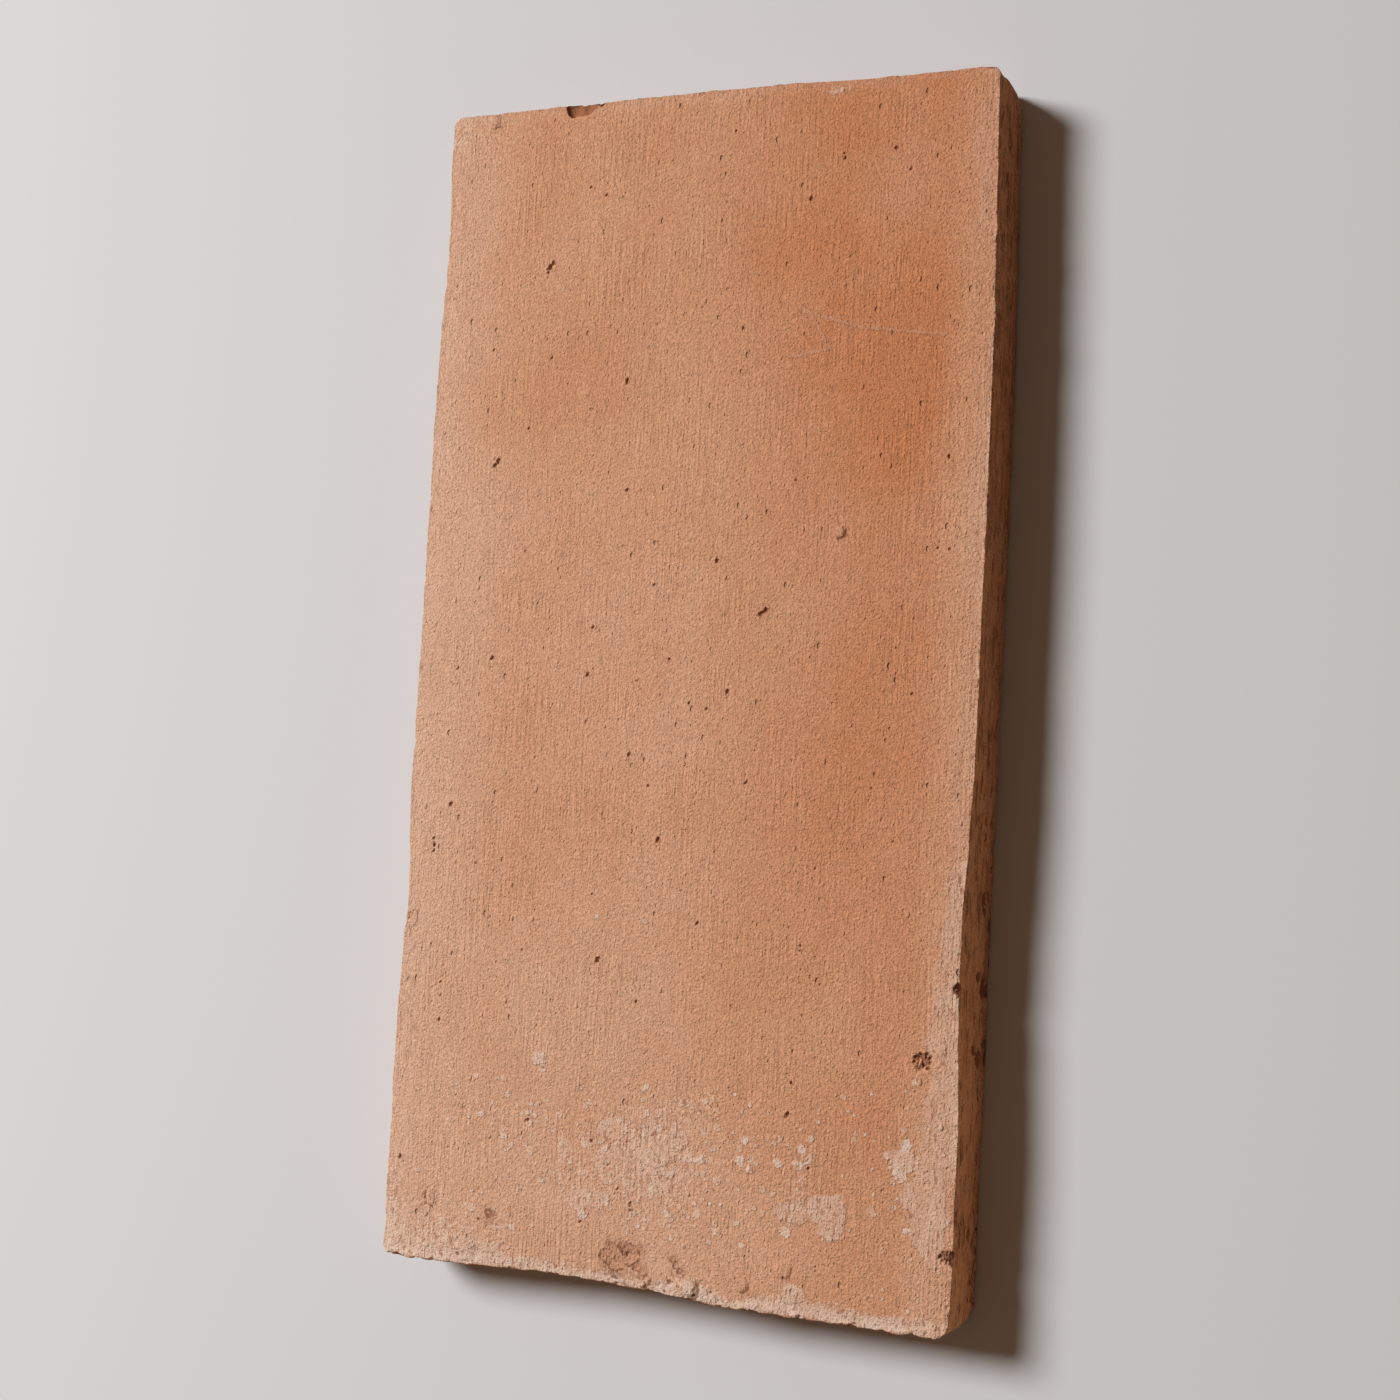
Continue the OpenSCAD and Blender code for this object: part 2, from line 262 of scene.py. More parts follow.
# Spots of lime on the wear face: place across, place along, radius in mm
LIME_SPOTS = [
    (-0.440, -0.637, 2.6), (-0.425, -0.655, 1.5), (-0.671, -0.679, 1.1), (-0.592, -0.680, 0.7),
    (-0.552, -0.705, 1.4), (-0.644, -0.742, 1.2), (-0.279, -0.682, 0.9), (-0.038, -0.708, 1.2),
    (-0.053, -0.672, 0.6), (0.082, -0.686, 1.2), (0.058, -0.748, 1.2), (0.160, -0.772, 1.6),
    (0.173, -0.797, 0.9), (-0.020, -0.773, 1.8), (0.002, -0.830, 1.5), (0.056, -0.867, 1.4),
    (0.228, -0.881, 1.7), (0.306, -0.733, 1.5), (0.294, -0.767, 1.7), (0.327, -0.778, 1.3),
    (0.292, -0.864, 1.2), (-0.173, -0.858, 2.4), (-0.250, -0.885, 1.9), (-0.402, -0.838, 1.3),
    (0.198, -0.839, 0.8), (0.498, -0.736, 1.6), (0.496, -0.763, 1.4), (0.457, -0.868, 1.8),
    (0.734, -0.815, 1.4), (0.849, -0.840, 1.1), (0.836, -0.712, 1.8), (0.778, -0.732, 1.3),
    (0.821, -0.758, 2.2), (0.873, -0.784, 1.6), (0.854, -0.614, 1.1), (0.828, -0.628, 0.6),
    (0.718, -0.638, 0.8), (0.703, -0.703, 0.6), (0.645, -0.670, 0.6), (0.732, -0.754, 0.6),
    (-0.256, -0.396, 0.9), (-0.081, -0.398, 1.0), (0.450, 0.976, 1.2),
]
# Larger flat patches of it: place across, place along, half width and half height in mm
LIME_PATCHES = [
    (0.480, -0.836, 6.5, 3.6),
    (0.590, -0.826, 7.5, 5.2),
    (0.605, -0.850, 4.5, 4.2),
    (-0.156, -0.740, 5.6, 4.0),
    (-0.264, -0.861, 4.2, 4.4),
    (0.425, 0.976, 3.0, 1.5),
    (0.144, -0.977, 3.2, 2.4),
    (-0.704, -0.961, 7.0, 2.4),
    (-0.585, -0.960, 4.0, 2.2),
    (0.075, -0.745, 4.2, 3.0),
    (-0.007, -0.779, 5.0, 3.2),
    (-0.200, -0.860, 4.0, 2.6),
    (0.490, -0.962, 4.6, 3.2),
    (0.830, -0.735, 4.6, 3.6),
    (0.860, -0.790, 3.6, 4.0),
]
# Scattered small spots: place across, place along, how far they spread in mm, how many
LIME_SCATTERS = [
    (0.02, -0.780, 17, 60),
    (-0.50, -0.760, 16, 30),
    (0.42, -0.760, 12, 20),
    (0.82, -0.800, 9, 20),
]
# Their least and greatest radius, in mm
SCATTERED_R = (0.45, 1.25)

# -------------------------------------------------------------------------- the relief

# Layers of smooth noise. Each has its height in mm, or its share of what it makes uneven,
# then the cell in mm, a seed, and how the cell is stretched where it is
FACE_WAVES = [(0.16, 46, 11), (0.09, 17, 12), (0.05, 5, 13, (1, 22, 1)), (0.06, 4.5, 14)]
SIDE_LUMPS = [(0.28, 13, 31), (0.22, 5, 32), (0.16, 2.4, 33, (1, 6, 1))]
BED_WAVES = [(0.26, 30, 41), (0.16, 9, 42), (0.10, 4, 43), (0.06, 6, 44, (1, 14, 1))]
BREAK_JAG = [(0.38, 2.6, 71), (0.28, 1.2, 72), (0.18, 0.6, 78)]
CORNER_JAG = [(0.5, 4, 51), (0.3, 1.8, 52)]
ARRIS_WIDTHS = [(0.45, 7, 61), (0.30, 2.2, 62)]
PIT_RIM = [(0.30, 0.8, 76), (0.15, 0.4, 77)]
FLAKE_RIM = [(0.18, 1.6, 16), (0.10, 0.8, 17)]
SPOT_RIM = [(0.16, 2.2, 95), (0.10, 1.1, 96)]
# These make ridges
FOOT_CRUMBS = [(1.0, 4.5, 35), (0.7, 2.0, 36)]
HOLE_CRUMBS = [(1.0, 1.3, 55), (0.5, 0.7, 56)]
CRUMB_RIDGES = [(1.0, 4.6, 73), (0.55, 2.1, 74), (0.25, 0.9, 79)]

# How deep each form is at its deepest, before its layers make it uneven
CRUMBLE_DEPTH = 0.75
HOLE_DEPTH = 0.9
FOOT_DEPTH = 1.9
SCRATCH_DEPTH = 0.05
GROOVE_DEPTH, GROOVE_HALF_W = 0.55, 0.9
# How far the face falls near its edges, and over what width
EDGE_FALL, EDGE_FALL_W = 0.28, 7
# The sides' and the bed's lumps stay inside the outline by sinking this far
SIDE_SINK, BED_SINK = 0.35, 0.4
# Height of the raised rim round a pit, as a share of its radius
PIT_RIM_HEIGHT = 0.12
# How fresh the clay in a dish is, where 1 is a new break
DISH_FRESH = 0.44


def smoothstep(value, start, end):
    """0 before start and 1 after end, and between them 3t^2 - 2t^3 of the share t."""
    t = np.clip((value - start) / (end - start), 0, 1)
    return t * t * (3 - 2 * t)


def rough(points, cell, seed, stretch=(1, 1, 1)):
    """Smooth noise from -1 to 1. Random values stand on a lattice of cubes with the given
    cell, and each point blends the values at its cube's eight corners by smoothstep."""
    side = 64
    table = np.random.default_rng(seed).uniform(-1, 1, (side, side, side))
    scaled = points / (cell * np.array(stretch)) + 10 * side
    corner = np.floor(scaled).astype(int)
    share = scaled - corner
    share = share * share * (3 - 2 * share)
    total = np.zeros(len(points))
    for step in itertools.product((0, 1), repeat=3):
        weight = np.prod(np.where(step, share, 1 - share), axis=1)
        i, j, k = ((corner + step) % side).T
        total += weight * table[i, j, k]
    return total


def falling(value, start, end):
    """1 before start and 0 after end, by smoothstep."""
    return 1 - smoothstep(value, start, end)


def bell(value, middle, width):
    """A bump of height 1: exp(-((value - middle) / width)^2)."""
    return np.exp(-(((value - middle) / width) ** 2))


def layered(points, layers, shape=np.positive):
    """Layers of rough() added up, each times its own size. With np.abs as their shape they
    make ridges with sharp valleys between them."""
    return sum(size * shape(rough(points, *noise)) for size, *noise in layers)


def dip(half, depth, distance):
    """A hollow's depth at a distance from its middle: depth * (1 + cos(pi d / half)) / 2."""
    inside = np.abs(distance) < half
    return np.where(inside, depth * (1 + np.cos(np.pi * distance / half)) / 2, 0)


def set_back(side, s):
    """How far an edge lies inside its outermost line at s along its own axis."""
    return sum(dip(half, depth, s - place * EDGE_HALF[side]) for place, half, depth in HOLLOWS[side])


def turn(side, out, way):
    """The point out from the middle and way along the edge, going round anticlockwise."""
    return np.stack({
        RIGHT: (out, way), FAR: (-way, out), LEFT: (-out, -way), NEAR: (way, -out),
    }[side], axis=-1)


def end_out(side, end):
    """How far out an edge is where it meets the next corner (end 1) or the last (end -1)."""
    return EDGE_OUT[side] - set_back(side, np.array(end * EDGE_SENSE[side] * EDGE_HALF[side]))


def edge_path(side):
    """The outline from the middle of the corner before an edge to the middle of the one
    after it: half a corner's arc, the edge with its hollows, and half an arc."""
    before, after = (side + 3) % 4, (side + 1) % 4
    worn_before, worn_after = CORNER_W[before], CORNER_W[side]
    start = worn_before - end_out(before, 1)
    stop = end_out(after, -1) - worn_after

    def arc(end, worn, foot, angle):
        out = end_out(side, end) - worn * (1 - np.cos(angle))
        return turn(side, out, foot + end * worn * np.sin(angle))

    way = np.linspace(start, stop, EDGE_STEPS)
    return np.concatenate([
        arc(-1, worn_before, start, np.linspace(np.pi / 4, 0, ARC_STEPS, endpoint=False)),
        turn(side, EDGE_OUT[side] - set_back(side, way * EDGE_SENSE[side]), way),
        arc(1, worn_after, stop, np.linspace(0, np.pi / 4, ARC_STEPS + 1)[1:]),
    ])


def outline_stations(counts):
    """Points evenly spaced along each edge's path, all the way round from the middle of the
    near right corner, with the direction out of the outline at each and its edge."""
    points, edges = [], []
    for side in SIDES:
        path = edge_path(side)
        along = np.concatenate([[0], np.cumsum(np.linalg.norm(np.diff(path, axis=0), axis=1))])
        wanted = along[-1] * np.arange(counts[side]) / counts[side]
        points.append(np.stack([np.interp(wanted, along, path[:, axis]) for axis in (0, 1)], 1))
        edges.append(np.full(counts[side], side))
    points = np.concatenate(points)
    tangent = np.roll(points, -1, axis=0) - np.roll(points, 1, axis=0)
    tangent /= np.linalg.norm(tangent, axis=1)[:, None]
    outwards = np.stack([tangent[:, 1], -tangent[:, 0]], axis=1)
    return points, outwards, np.concatenate(edges)


def rectangle_stations(half_w, half_l, counts):
    """Points evenly spaced round a rectangle, in the same order as outline_stations."""
    corners = np.array([[1, -1], [1, 1], [-1, 1], [-1, -1]]) * [half_w, half_l]
    edges = []
    for side in SIDES:
        share = np.arange(counts[side])[:, None] / counts[side]
        edges.append(corners[side] * (1 - share) + corners[(side + 1) % 4] * share)
    return np.concatenate(edges)


def flat_grid(half_w, half_l, cells):
    """The points of a grid over a rectangle, row by row from the near left corner."""
    x, y = np.meshgrid(
        np.linspace(-half_w, half_w, cells[0] + 1), np.linspace(-half_l, half_l, cells[1] + 1)
    )
    return np.stack([x.ravel(), y.ravel()], axis=1)


def grid_numbers(cells, first):
    """The numbers of a grid's points, as a table of its rows from the near left corner."""
    columns, rows = cells
    return first + np.arange((rows + 1) * (columns + 1)).reshape(rows + 1, columns + 1)


def grid_rim(number):
    """The numbers of a grid's points round its border, from the near right corner."""
    return np.concatenate([
        number[:-1, -1], number[-1, :0:-1], number[:0:-1, 0], number[0, :-1],
    ])


def grid_quads(number):
    """The squares of a grid, seen from above."""
    return np.stack(
        [number[:-1, :-1], number[:-1, 1:], number[1:, 1:], number[1:, :-1]], axis=-1
    ).reshape(-1, 4)


def ring_quads(rings):
    """The squares between each ring of points and the next one down the profile."""
    upper, lower = rings[:-1], rings[1:]
    return np.stack(
        [upper, lower, np.roll(lower, -1, axis=1), np.roll(upper, -1, axis=1)], axis=-1
    ).reshape(-1, 4)


def halves(quads):
    """Each square as two triangles."""
    return np.concatenate([quads[:, [0, 1, 2]], quads[:, [0, 2, 3]]])


def fan_triangles(coarse, fine):
    """The triangles between an inner ring and an outer one with as many points or a few
    times as many: each half of an inner step is a fan from the nearer inner point."""
    ratio = len(fine) // len(coarse)
    after = np.roll(coarse, -1)
    outer = np.append(fine, fine[0])[np.arange(len(coarse))[:, None] * ratio + np.arange(ratio + 1)]
    triangles = [np.stack([coarse, outer[:, ratio // 2], after], axis=1)]
    for step in range(ratio):
        near = coarse if step < ratio // 2 else after
        triangles.append(np.stack([near, outer[:, step], outer[:, step + 1]], axis=1))
    return np.concatenate(triangles)


def place(across, along):
    """A place on the face, in mm."""
    return np.array([across * HALF_W, along * HALF_L])


def face_point(across, along):
    """A place on the face, with its height."""
    return np.append(place(across, along), THICK)


def edge_place(side, share):
    """The point of the outline at a share of an edge, and the direction out of it."""
    s = np.array(share * EDGE_HALF[side])
    out = EDGE_OUT[side] - set_back(side, s)
    return turn(side, out, s * EDGE_SENSE[side]), turn(side, np.array(1.0), np.array(0.0))


class Nearby:
    """Points sorted along X once, so that those near a mark are found quickly."""

    def __init__(self, points):
        self.order = np.argsort(points[:, 0])
        self.x = points[self.order, 0]

    def around(self, x, reach):
        first, last = np.searchsorted(self.x, [x - reach, x + reach])
        return self.order[first:last]


def small_pits():
    """The pits of the crumbled holes: place across, place along, radius."""
    random = np.random.default_rng(16)
    pits = []
    for across, along, reach in CRUMBLED_HOLES:
        for _ in range(int(SMALL_PITS_PER_MM * reach)):
            angle, share = random.uniform(0, 2 * np.pi), np.sqrt(random.uniform(0, 1))
            x = across + share * reach * np.cos(angle) / HALF_W
            y = along + share * reach * np.sin(angle) / HALF_L
            pits.append((x, y, random.uniform(*SMALL_PIT_R)))
    return pits


def scattered_spots():
    """The scattered spots of lime: place across, place along, radius."""
    random = np.random.default_rng(19)
    spots = []
    for across, along, spread, count in LIME_SCATTERS:
        for _ in range(count):
            x, y = random.normal(0, 0.6 * spread, 2)
            spots.append((across + x / HALF_W, along + y / HALF_L, random.uniform(*SCATTERED_R)))
    return spots


def lost_balls():
    """The balls that cut clay away, each as the middle of its mouth, the mouth's reach, the
    ball's middle and radius, the longest edge wanted there, and whether it is a dish. A
    chip's ball passes through the arris at its half length, the face at its reach and the
    side at its drop. A dish's or a hollow's ball cuts it to its depth."""
    random = np.random.default_rng(17)
    chips = [(*chip, CHIP_EDGE) for chip in CHIPS]
    for side, count in NICKS.items():
        for _ in range(count):
            half = random.uniform(*NICK_HALF)
            reach, drop = half * random.uniform(0.25, 0.55), half * random.uniform(0.3, 0.7)
            chips.append((side, random.uniform(-0.97, 0.97), half, reach, drop, NICK_EDGE))
    balls = []
    for side, share, half, reach, drop, edge in chips:
        point, out = edge_place(side, share)
        outwards = (half * half - reach * reach) / (2 * reach)
        up = (half * half - drop * drop) / (2 * drop)
        middle = np.append(point + out * outwards, THICK + up)
        radius = np.sqrt(half * half + outwards * outwards + up * up)
        mouth = np.append(point, THICK)
        balls.append((mouth, max(half, reach, drop), middle, radius, edge, False))
    up = np.array([0, 0, 1])
    hollows = [(face_point(x, y), up, *size, PIT_EDGE, True) for x, y, *size in SPALLS]
    marks = [(RIGHT, *gouge) for gouge in GOUGES]
    for side, count in SIDE_HOLLOWS.items():
        for _ in range(count):
            reach = random.uniform(*SIDE_HOLLOW_REACH)
            height = random.uniform(2.5, THICK - 3)
            marks.append((side, random.uniform(-0.96, 0.96), height, reach, 0.3 * reach))
    for side, share, height, reach, depth in marks:
        point, out = edge_place(side, share)
        mouth = np.append(point, height)
        hollows.append((mouth, np.append(out, 0), reach, depth, HOLLOW_EDGE, False))
    for mouth, out, reach, depth, edge, dish in hollows:
        radius = (reach * reach + depth * depth) / (2 * depth)
        balls.append((mouth, reach, mouth + out * (radius - depth), radius, edge, dish))
    return balls


def longest_edge(table):
    """The longest edge wanted at each point of the skin: a length for the part of the skin,
    shorter over the arris and in crumbly clay, and shortest at a mark, from where it grows
    by EDGE_GROWTH for each millimetre away."""
    points, up, inset = table[:, :3], table[:, 5], table[:, 6]
    length = np.where(up > 0.5, FACE_EDGE, np.where(up < -0.5, BED_EDGE, SIDE_EDGE))
    length = np.where((up > 0.05) & (inset < 1.6), ARRIS_EDGE, length)
    crumbly = np.minimum(1.5 * near_crumble(points, inset), 1) * (up > 0.5)
    length = np.minimum(length, FACE_EDGE + (CRUMBLE_EDGE - FACE_EDGE) * crumbly)
    kinds = ((PITS + small_pits(), PIT_EDGE), (LIME_SPOTS, SPOT_EDGE), (RAISED, FLAKE_EDGE))
    marks = [
        (face_point(across, along), MARK_REACH * radius, edge)
        for kind, edge in kinds for across, along, radius, *_ in kind
    ]
    marks += [(mouth, reach, edge) for mouth, reach, _, _, edge, _ in lost_balls()]
    for start, end, _ in SCRATCHES:
        off = off_line(points, start, end) + 99 * (up < 0.5)
        length = np.minimum(length, SCRATCH_EDGE + EDGE_GROWTH * np.maximum(off - 0.6, 0))
    nearby = Nearby(points)
    for middle, reach, edge in marks:
        near = nearby.around(middle[0], reach + (FACE_EDGE - edge) / EDGE_GROWTH)
        away = np.maximum(np.linalg.norm(points[near] - middle, axis=1) - reach, 0)
        length[near] = np.minimum(length[near], edge + EDGE_GROWTH * away)
    return length


def split_edges(table, triangles, part):
    """Splits edges at their middles until none is longer than wanted there. A triangle with
    one, two or three split edges becomes two, three or four of the same part of the skin."""
    for _ in range(SPLITS):
        count = len(table)
        ends = np.sort(triangles[:, [[0, 1], [1, 2], [2, 0]]], axis=2)
        edges, which = np.unique(ends[..., 0] * count + ends[..., 1], return_inverse=True)
        first, second = edges // count, edges % count
        middle = (table[first] + table[second]) / 2
        length = np.linalg.norm(table[first, :3] - table[second, :3], axis=1)
        split = length > longest_edge(middle)
        number = np.full(len(edges), -1)
        number[split] = count + np.arange(split.sum())
        table = np.concatenate([table, middle[split]])
        new = number[which.reshape(-1, 3)]
        splits = (new >= 0).sum(axis=1)
        # Each triangle is turned so that its split edges come first
        lead = np.where(splits == 1, np.argmax(new >= 0, axis=1), (np.argmin(new, axis=1) + 1) % 3)
        order = (lead[:, None] + np.arange(3)) % 3
        six = np.concatenate(
            [np.take_along_axis(triangles, order, 1), np.take_along_axis(new, order, 1)], axis=1
        )
        pieces = [
            (0, (0, 1, 2)),
            (1, (0, 3, 2)), (1, (3, 1, 2)),
            (2, (3, 1, 4)), (2, (0, 3, 4)), (2, (0, 4, 2)),
            (3, (0, 3, 5)), (3, (3, 1, 4)), (3, (5, 4, 2)), (3, (3, 4, 5)),
        ]
        triangles = np.concatenate([six[splits == kind][:, corners] for kind, corners in pieces])
        part = np.concatenate([part[splits == kind] for kind, _ in pieces])
    table[:, 3:6] /= np.linalg.norm(table[:, 3:6], axis=1)[:, None]
    return table, triangles, part


def lose_clay(points):
    """Pushes each point that is inside a ball straight away from the ball's middle on to its
    surface, where an uneven radius makes the break rough. Also returns how fresh the clay
    there is, and the dirt inside a dish's rim, most on its right and near side."""
    jag = layered(points, BREAK_JAG)
    lost, stain, fresh = np.zeros((3, len(points)))
    nearby = Nearby(points)
    for mouth, reach, middle, radius, _, dish in lost_balls():
        near = nearby.around(mouth[0], reach + 2)
        near = near[np.linalg.norm(points[near] - mouth, axis=1) < 1.5 * reach + 1]
        away = points[near] - middle
        distance = np.linalg.norm(away, axis=1)
        cut = np.maximum(radius + min(reach / 3, 1) * jag[near] - distance, 0)
        points[near] += away * (cut / distance)[:, None]
        lost[near] = np.maximum(lost[near], cut)
        deepest = cut >= lost[near]
        fresh[near] = np.where(deepest, DISH_FRESH if dish else 1.0, fresh[near])
        if dish:
            lee = smoothstep((points[near, :2] - mouth[:2]) @ [0.6, -0.5] / reach, -0.7, 0.5)
            stain[near] = np.where(deepest, (0.5 + 0.5 * lee) * bell(cut, 0.17, 0.17), stain[near])
    return fresh * smoothstep(lost, 0.05, 0.30), stain


def pit_field(points):
    """How far inside a pit each point is: 1 at its middle, 0 on its rim and less outside,
    down to -1. A pit is an ellipse with an uneven rim. Also returns the pit's radius."""
    random = np.random.default_rng(18)
    uneven = layered(points, PIT_RIM)
    inside = np.full(len(points), -1.0)
    size = np.ones(len(points))
    nearby = Nearby(points)
    for across, along, radius in PITS + small_pits():
        angle, stretch = random.uniform(0.7, 1.5), random.uniform(1.0, 1.55)
        middle = place(across, along)
        near = nearby.around(middle[0], 3 * radius)
        away = points[near, :2] - middle
        longways = (away @ [np.cos(angle), np.sin(angle)]) / (radius * stretch)
        sideways = (away @ [-np.sin(angle), np.cos(angle)]) / (radius / stretch)
        here = 1 - np.hypot(longways, sideways) * (1 + uneven[near])
        deeper = here > inside[near]
        inside[near] = np.where(deeper, here, inside[near])
        size[near] = np.where(deeper, radius, size[near])
    return inside, size


def face_relief(points, inset):
    """The wear face's height over its plane: broad waves of the hand-struck clay, shallow
    lengthwise drags, small lumps, raised flakes, scratches, and a slight fall towards the
    edges. Also returns a painted shadow under each flake's lower rim, on its side away
    from the light."""
    height = layered(points, FACE_WAVES) - EDGE_FALL * falling(inset, 0, EDGE_FALL_W)
    uneven = 1 + layered(points, FLAKE_RIM)
    painted_flake_shadow = np.zeros(len(points))
    for across, along, radius, rise in RAISED:
        away = points[:, :2] - place(across, along)
        distance = np.linalg.norm(away, axis=1) / radius * uneven
        height += rise * falling(distance, 0.70, 1.0)
        # Painted shadow: dark under each raised flake's rim on its lower right, away from the light
        lee = smoothstep(away @ [0.6, -0.6] / radius, -0.2, 0.8)
        painted_flake_shadow = np.maximum(painted_flake_shadow, 3.6 * rise * lee * bell(distance, 1.05, 0.15))
    for start, end, strength in SCRATCHES:
        height -= SCRATCH_DEPTH * strength * falling(off_line(points, start, end), 0.1, 0.6)
    return height, np.minimum(painted_flake_shadow, 1)


def off_line(points, start, end):
    """How far each point is from the line between two places on the face, in mm."""
    first, way = place(*start), place(*end) - place(*start)
    share = np.clip((points[:, :2] - first) @ way / (way @ way), 0, 1)
    return np.linalg.norm(points[:, :2] - first - share[:, None] * way, axis=1)


def near_crumble(points, inset):
    """How crumbly the wear face is: a band along the near end, widest near its middle,
    and a little over every arris."""
    from_end = points[:, 1] + HALF_L
    across = points[:, 0] / HALF_W
    width = 1.3 + 6.5 * bell(across, 0.08, 0.25) + 1.5 * rough(points, 14, 21)
    width += 2.0 * smoothstep(across, 0.55, 0.9)
    band = falling(from_end + 1.5 * rough(points, 4, 22), 0.5 * width, 1.2 * width)
    return np.maximum(band, 0.40 * falling(inset, 0.2, 1.5))


def side_relief(points, normals):
    """The cut sides' height over the outline: lumps, lengthwise drags, and on the right side
    a groove along its far half and a ragged foot towards the near end."""
    height = layered(points, SIDE_LUMPS) - SIDE_SINK
    y, z = points[:, 1], points[:, 2]
    on_right = smoothstep(normals[:, 0], 0.7, 0.95)
    groove_z = 10 + 1.2 * rough(points * [0, 1, 0], 18, 34)
    along = smoothstep(y, 8, 24) * falling(y, 70, 90)
    height -= GROOVE_DEPTH * on_right * along * bell(z, groove_z, GROOVE_HALF_W)
    foot = falling(z, 3, 11) * falling(y, -62, -40)
    return height + on_right * foot * (0.2 - FOOT_DEPTH * layered(points, FOOT_CRUMBS, np.abs))


def bed_relief(points):
    """The bed's unevenness: sand-moulded clay with broad hollows, lumps and drags."""
    return layered(points, BED_WAVES) - BED_SINK


def break_corners(points):
    """Brings each point beyond the plane of a broken corner back to that plane, which
    uneven clay moves by a few tenths of a millimetre, and says where that was."""
    jag = layered(points, CORNER_JAG)
    broken = np.zeros(len(points))
    for x_sense, y_sense, across, along, up in BROKEN_CORNERS:
        corner = np.array([x_sense * HALF_W, y_sense * HALF_L, 0])
        normal = np.array([x_sense / across, y_sense / along, -1 / up])
        offset = 1 / np.linalg.norm(normal)
        normal = normal * offset
        beyond = np.maximum((points - corner) @ normal + offset + jag, 0)
        near_corner = (np.abs(points - corner) < CORNER_BOX).all(axis=1)
        beyond = np.where(near_corner, beyond, 0)
        points = points - beyond[:, None] * normal
        broken = np.maximum(broken, smoothstep(beyond, 0, 0.4))
    return points, broken


# The parts of the skin are the four sides, by their edges, the top and the bed
TOP, BED = 4, 5


def skin():
    """The tile's closed skin before its relief. Rings of points follow the outline: across
    the band of the wear face, over the arris, down the side, round the bed's arris and in
    under the bed. Returns a table with each point's place, normal and distance inside the
    outline, the triangles, and the part of the skin that each triangle belongs to."""
    counts = [FACE_CELLS[1 - side % 2] for side in SIDES]
    outer, outwards, edge = outline_stations(counts)
    half_w, half_l = HALF_W - MARGIN, HALF_L - MARGIN
    inner = rectangle_stations(half_w, half_l, counts)
    total = len(outer)

    # The arris passes from one edge's width to the next's, and is wider where it crumbled
    width = np.array(FACE_ARRIS)[edge]
    blended = 2 * ARRIS_BLEND + 1
    width = np.r_[width[-ARRIS_BLEND:], width, width[:ARRIS_BLEND]]
    width = np.convolve(width, np.ones(blended) / blended, "valid")
    width = width * (1 + layered(np.column_stack([outer, np.zeros(total)]), ARRIS_WIDTHS))

    rings = []

    def ring(flat, height, out_share, up_share, inset):
        rings.append(np.column_stack([
            flat, np.broadcast_to(height, total), outwards * out_share,
            np.full(total, up_share), np.broadcast_to(inset, total),
        ]))

    start = outer - outwards * ARRIS_START
    for step in range(1, BAND_RINGS + 1):
        share = step / BAND_RINGS
        ring(inner + (start - inner) * share, THICK, 0, 1, MARGIN + (ARRIS_START - MARGIN) * share)
    for step in range(ARRIS_RINGS + 1):
        angle = np.pi / 2 * step / ARRIS_RINGS
        inset = width * (1 - np.sin(angle))
        height = THICK - width * (1 - np.cos(angle))
        ring(outer - outwards * inset[:, None], height, np.sin(angle), np.cos(angle), inset)
    top_end = len(rings) - 1

    middle, half, depth = FADING_HOLLOW
    fade = np.where(edge == RIGHT, dip(half, depth, outer[:, 1] - middle * HALF_L), 0)
    for step in range(1, SIDE_RINGS + 1):
        height = THICK - width + (BED_ARRIS - THICK + width) * step / SIDE_RINGS
        foot = outer + outwards * (fade * smoothstep(1 - height / THICK, 0, 0.8))[:, None]
        ring(foot, height, 1, 0, 0)
    side_end = len(rings) - 1
    for step in range(1, BED_ARRIS_RINGS + 1):
        angle = np.pi / 2 * step / BED_ARRIS_RINGS
        inset = BED_ARRIS * (1 - np.cos(angle))
        height = BED_ARRIS * (1 - np.sin(angle))
        ring(foot - outwards * inset, height, np.cos(angle), -np.sin(angle), inset)
    for inset in BED_RINGS:
        ring(foot - outwards * inset, 0, 0, -1, inset)

    grids = []
    for cells, height, up in ((FACE_CELLS, THICK, 1), (BED_CELLS, 0, -1)):
        flat = flat_grid(half_w, half_l, cells)
        inset = np.minimum(HALF_W - np.abs(flat[:, 0]), HALF_L - np.abs(flat[:, 1]))
        zeros = np.zeros(len(flat))
        grids.append(np.column_stack([flat, zeros + height, zeros, zeros, zeros + up, inset]))
    table = np.concatenate([grids[0], *rings, grids[1]])

    ring_number = len(grids[0]) + np.arange(len(rings) * total).reshape(-1, total)
    face_number = grid_numbers(FACE_CELLS, 0)
    bed_number = grid_numbers(BED_CELLS, len(grids[0]) + len(rings) * total)
    layer = np.arange(len(rings) - 1)[:, None]
    ring_part = np.where(layer < top_end, TOP, np.where(layer < side_end, edge, BED))
    patches = [
        (halves(grid_quads(face_number)), TOP),
        (fan_triangles(grid_rim(face_number), ring_number[0]), TOP),
        (halves(ring_quads(ring_number)), np.tile(ring_part.ravel(), 2)),
        (fan_triangles(grid_rim(bed_number), ring_number[-1])[:, ::-1], BED),
        (halves(grid_quads(bed_number))[:, ::-1], BED),
    ]
    triangles = np.concatenate([patch for patch, _ in patches])
    part = np.concatenate([np.broadcast_to(kind, len(patch)) for patch, kind in patches])
    return table, triangles, part


# The finish's own sheet: this many mm of skin are its full length, and each side's strip
# takes this many of its width
SHEET = 410.0
STRIP = 28.4


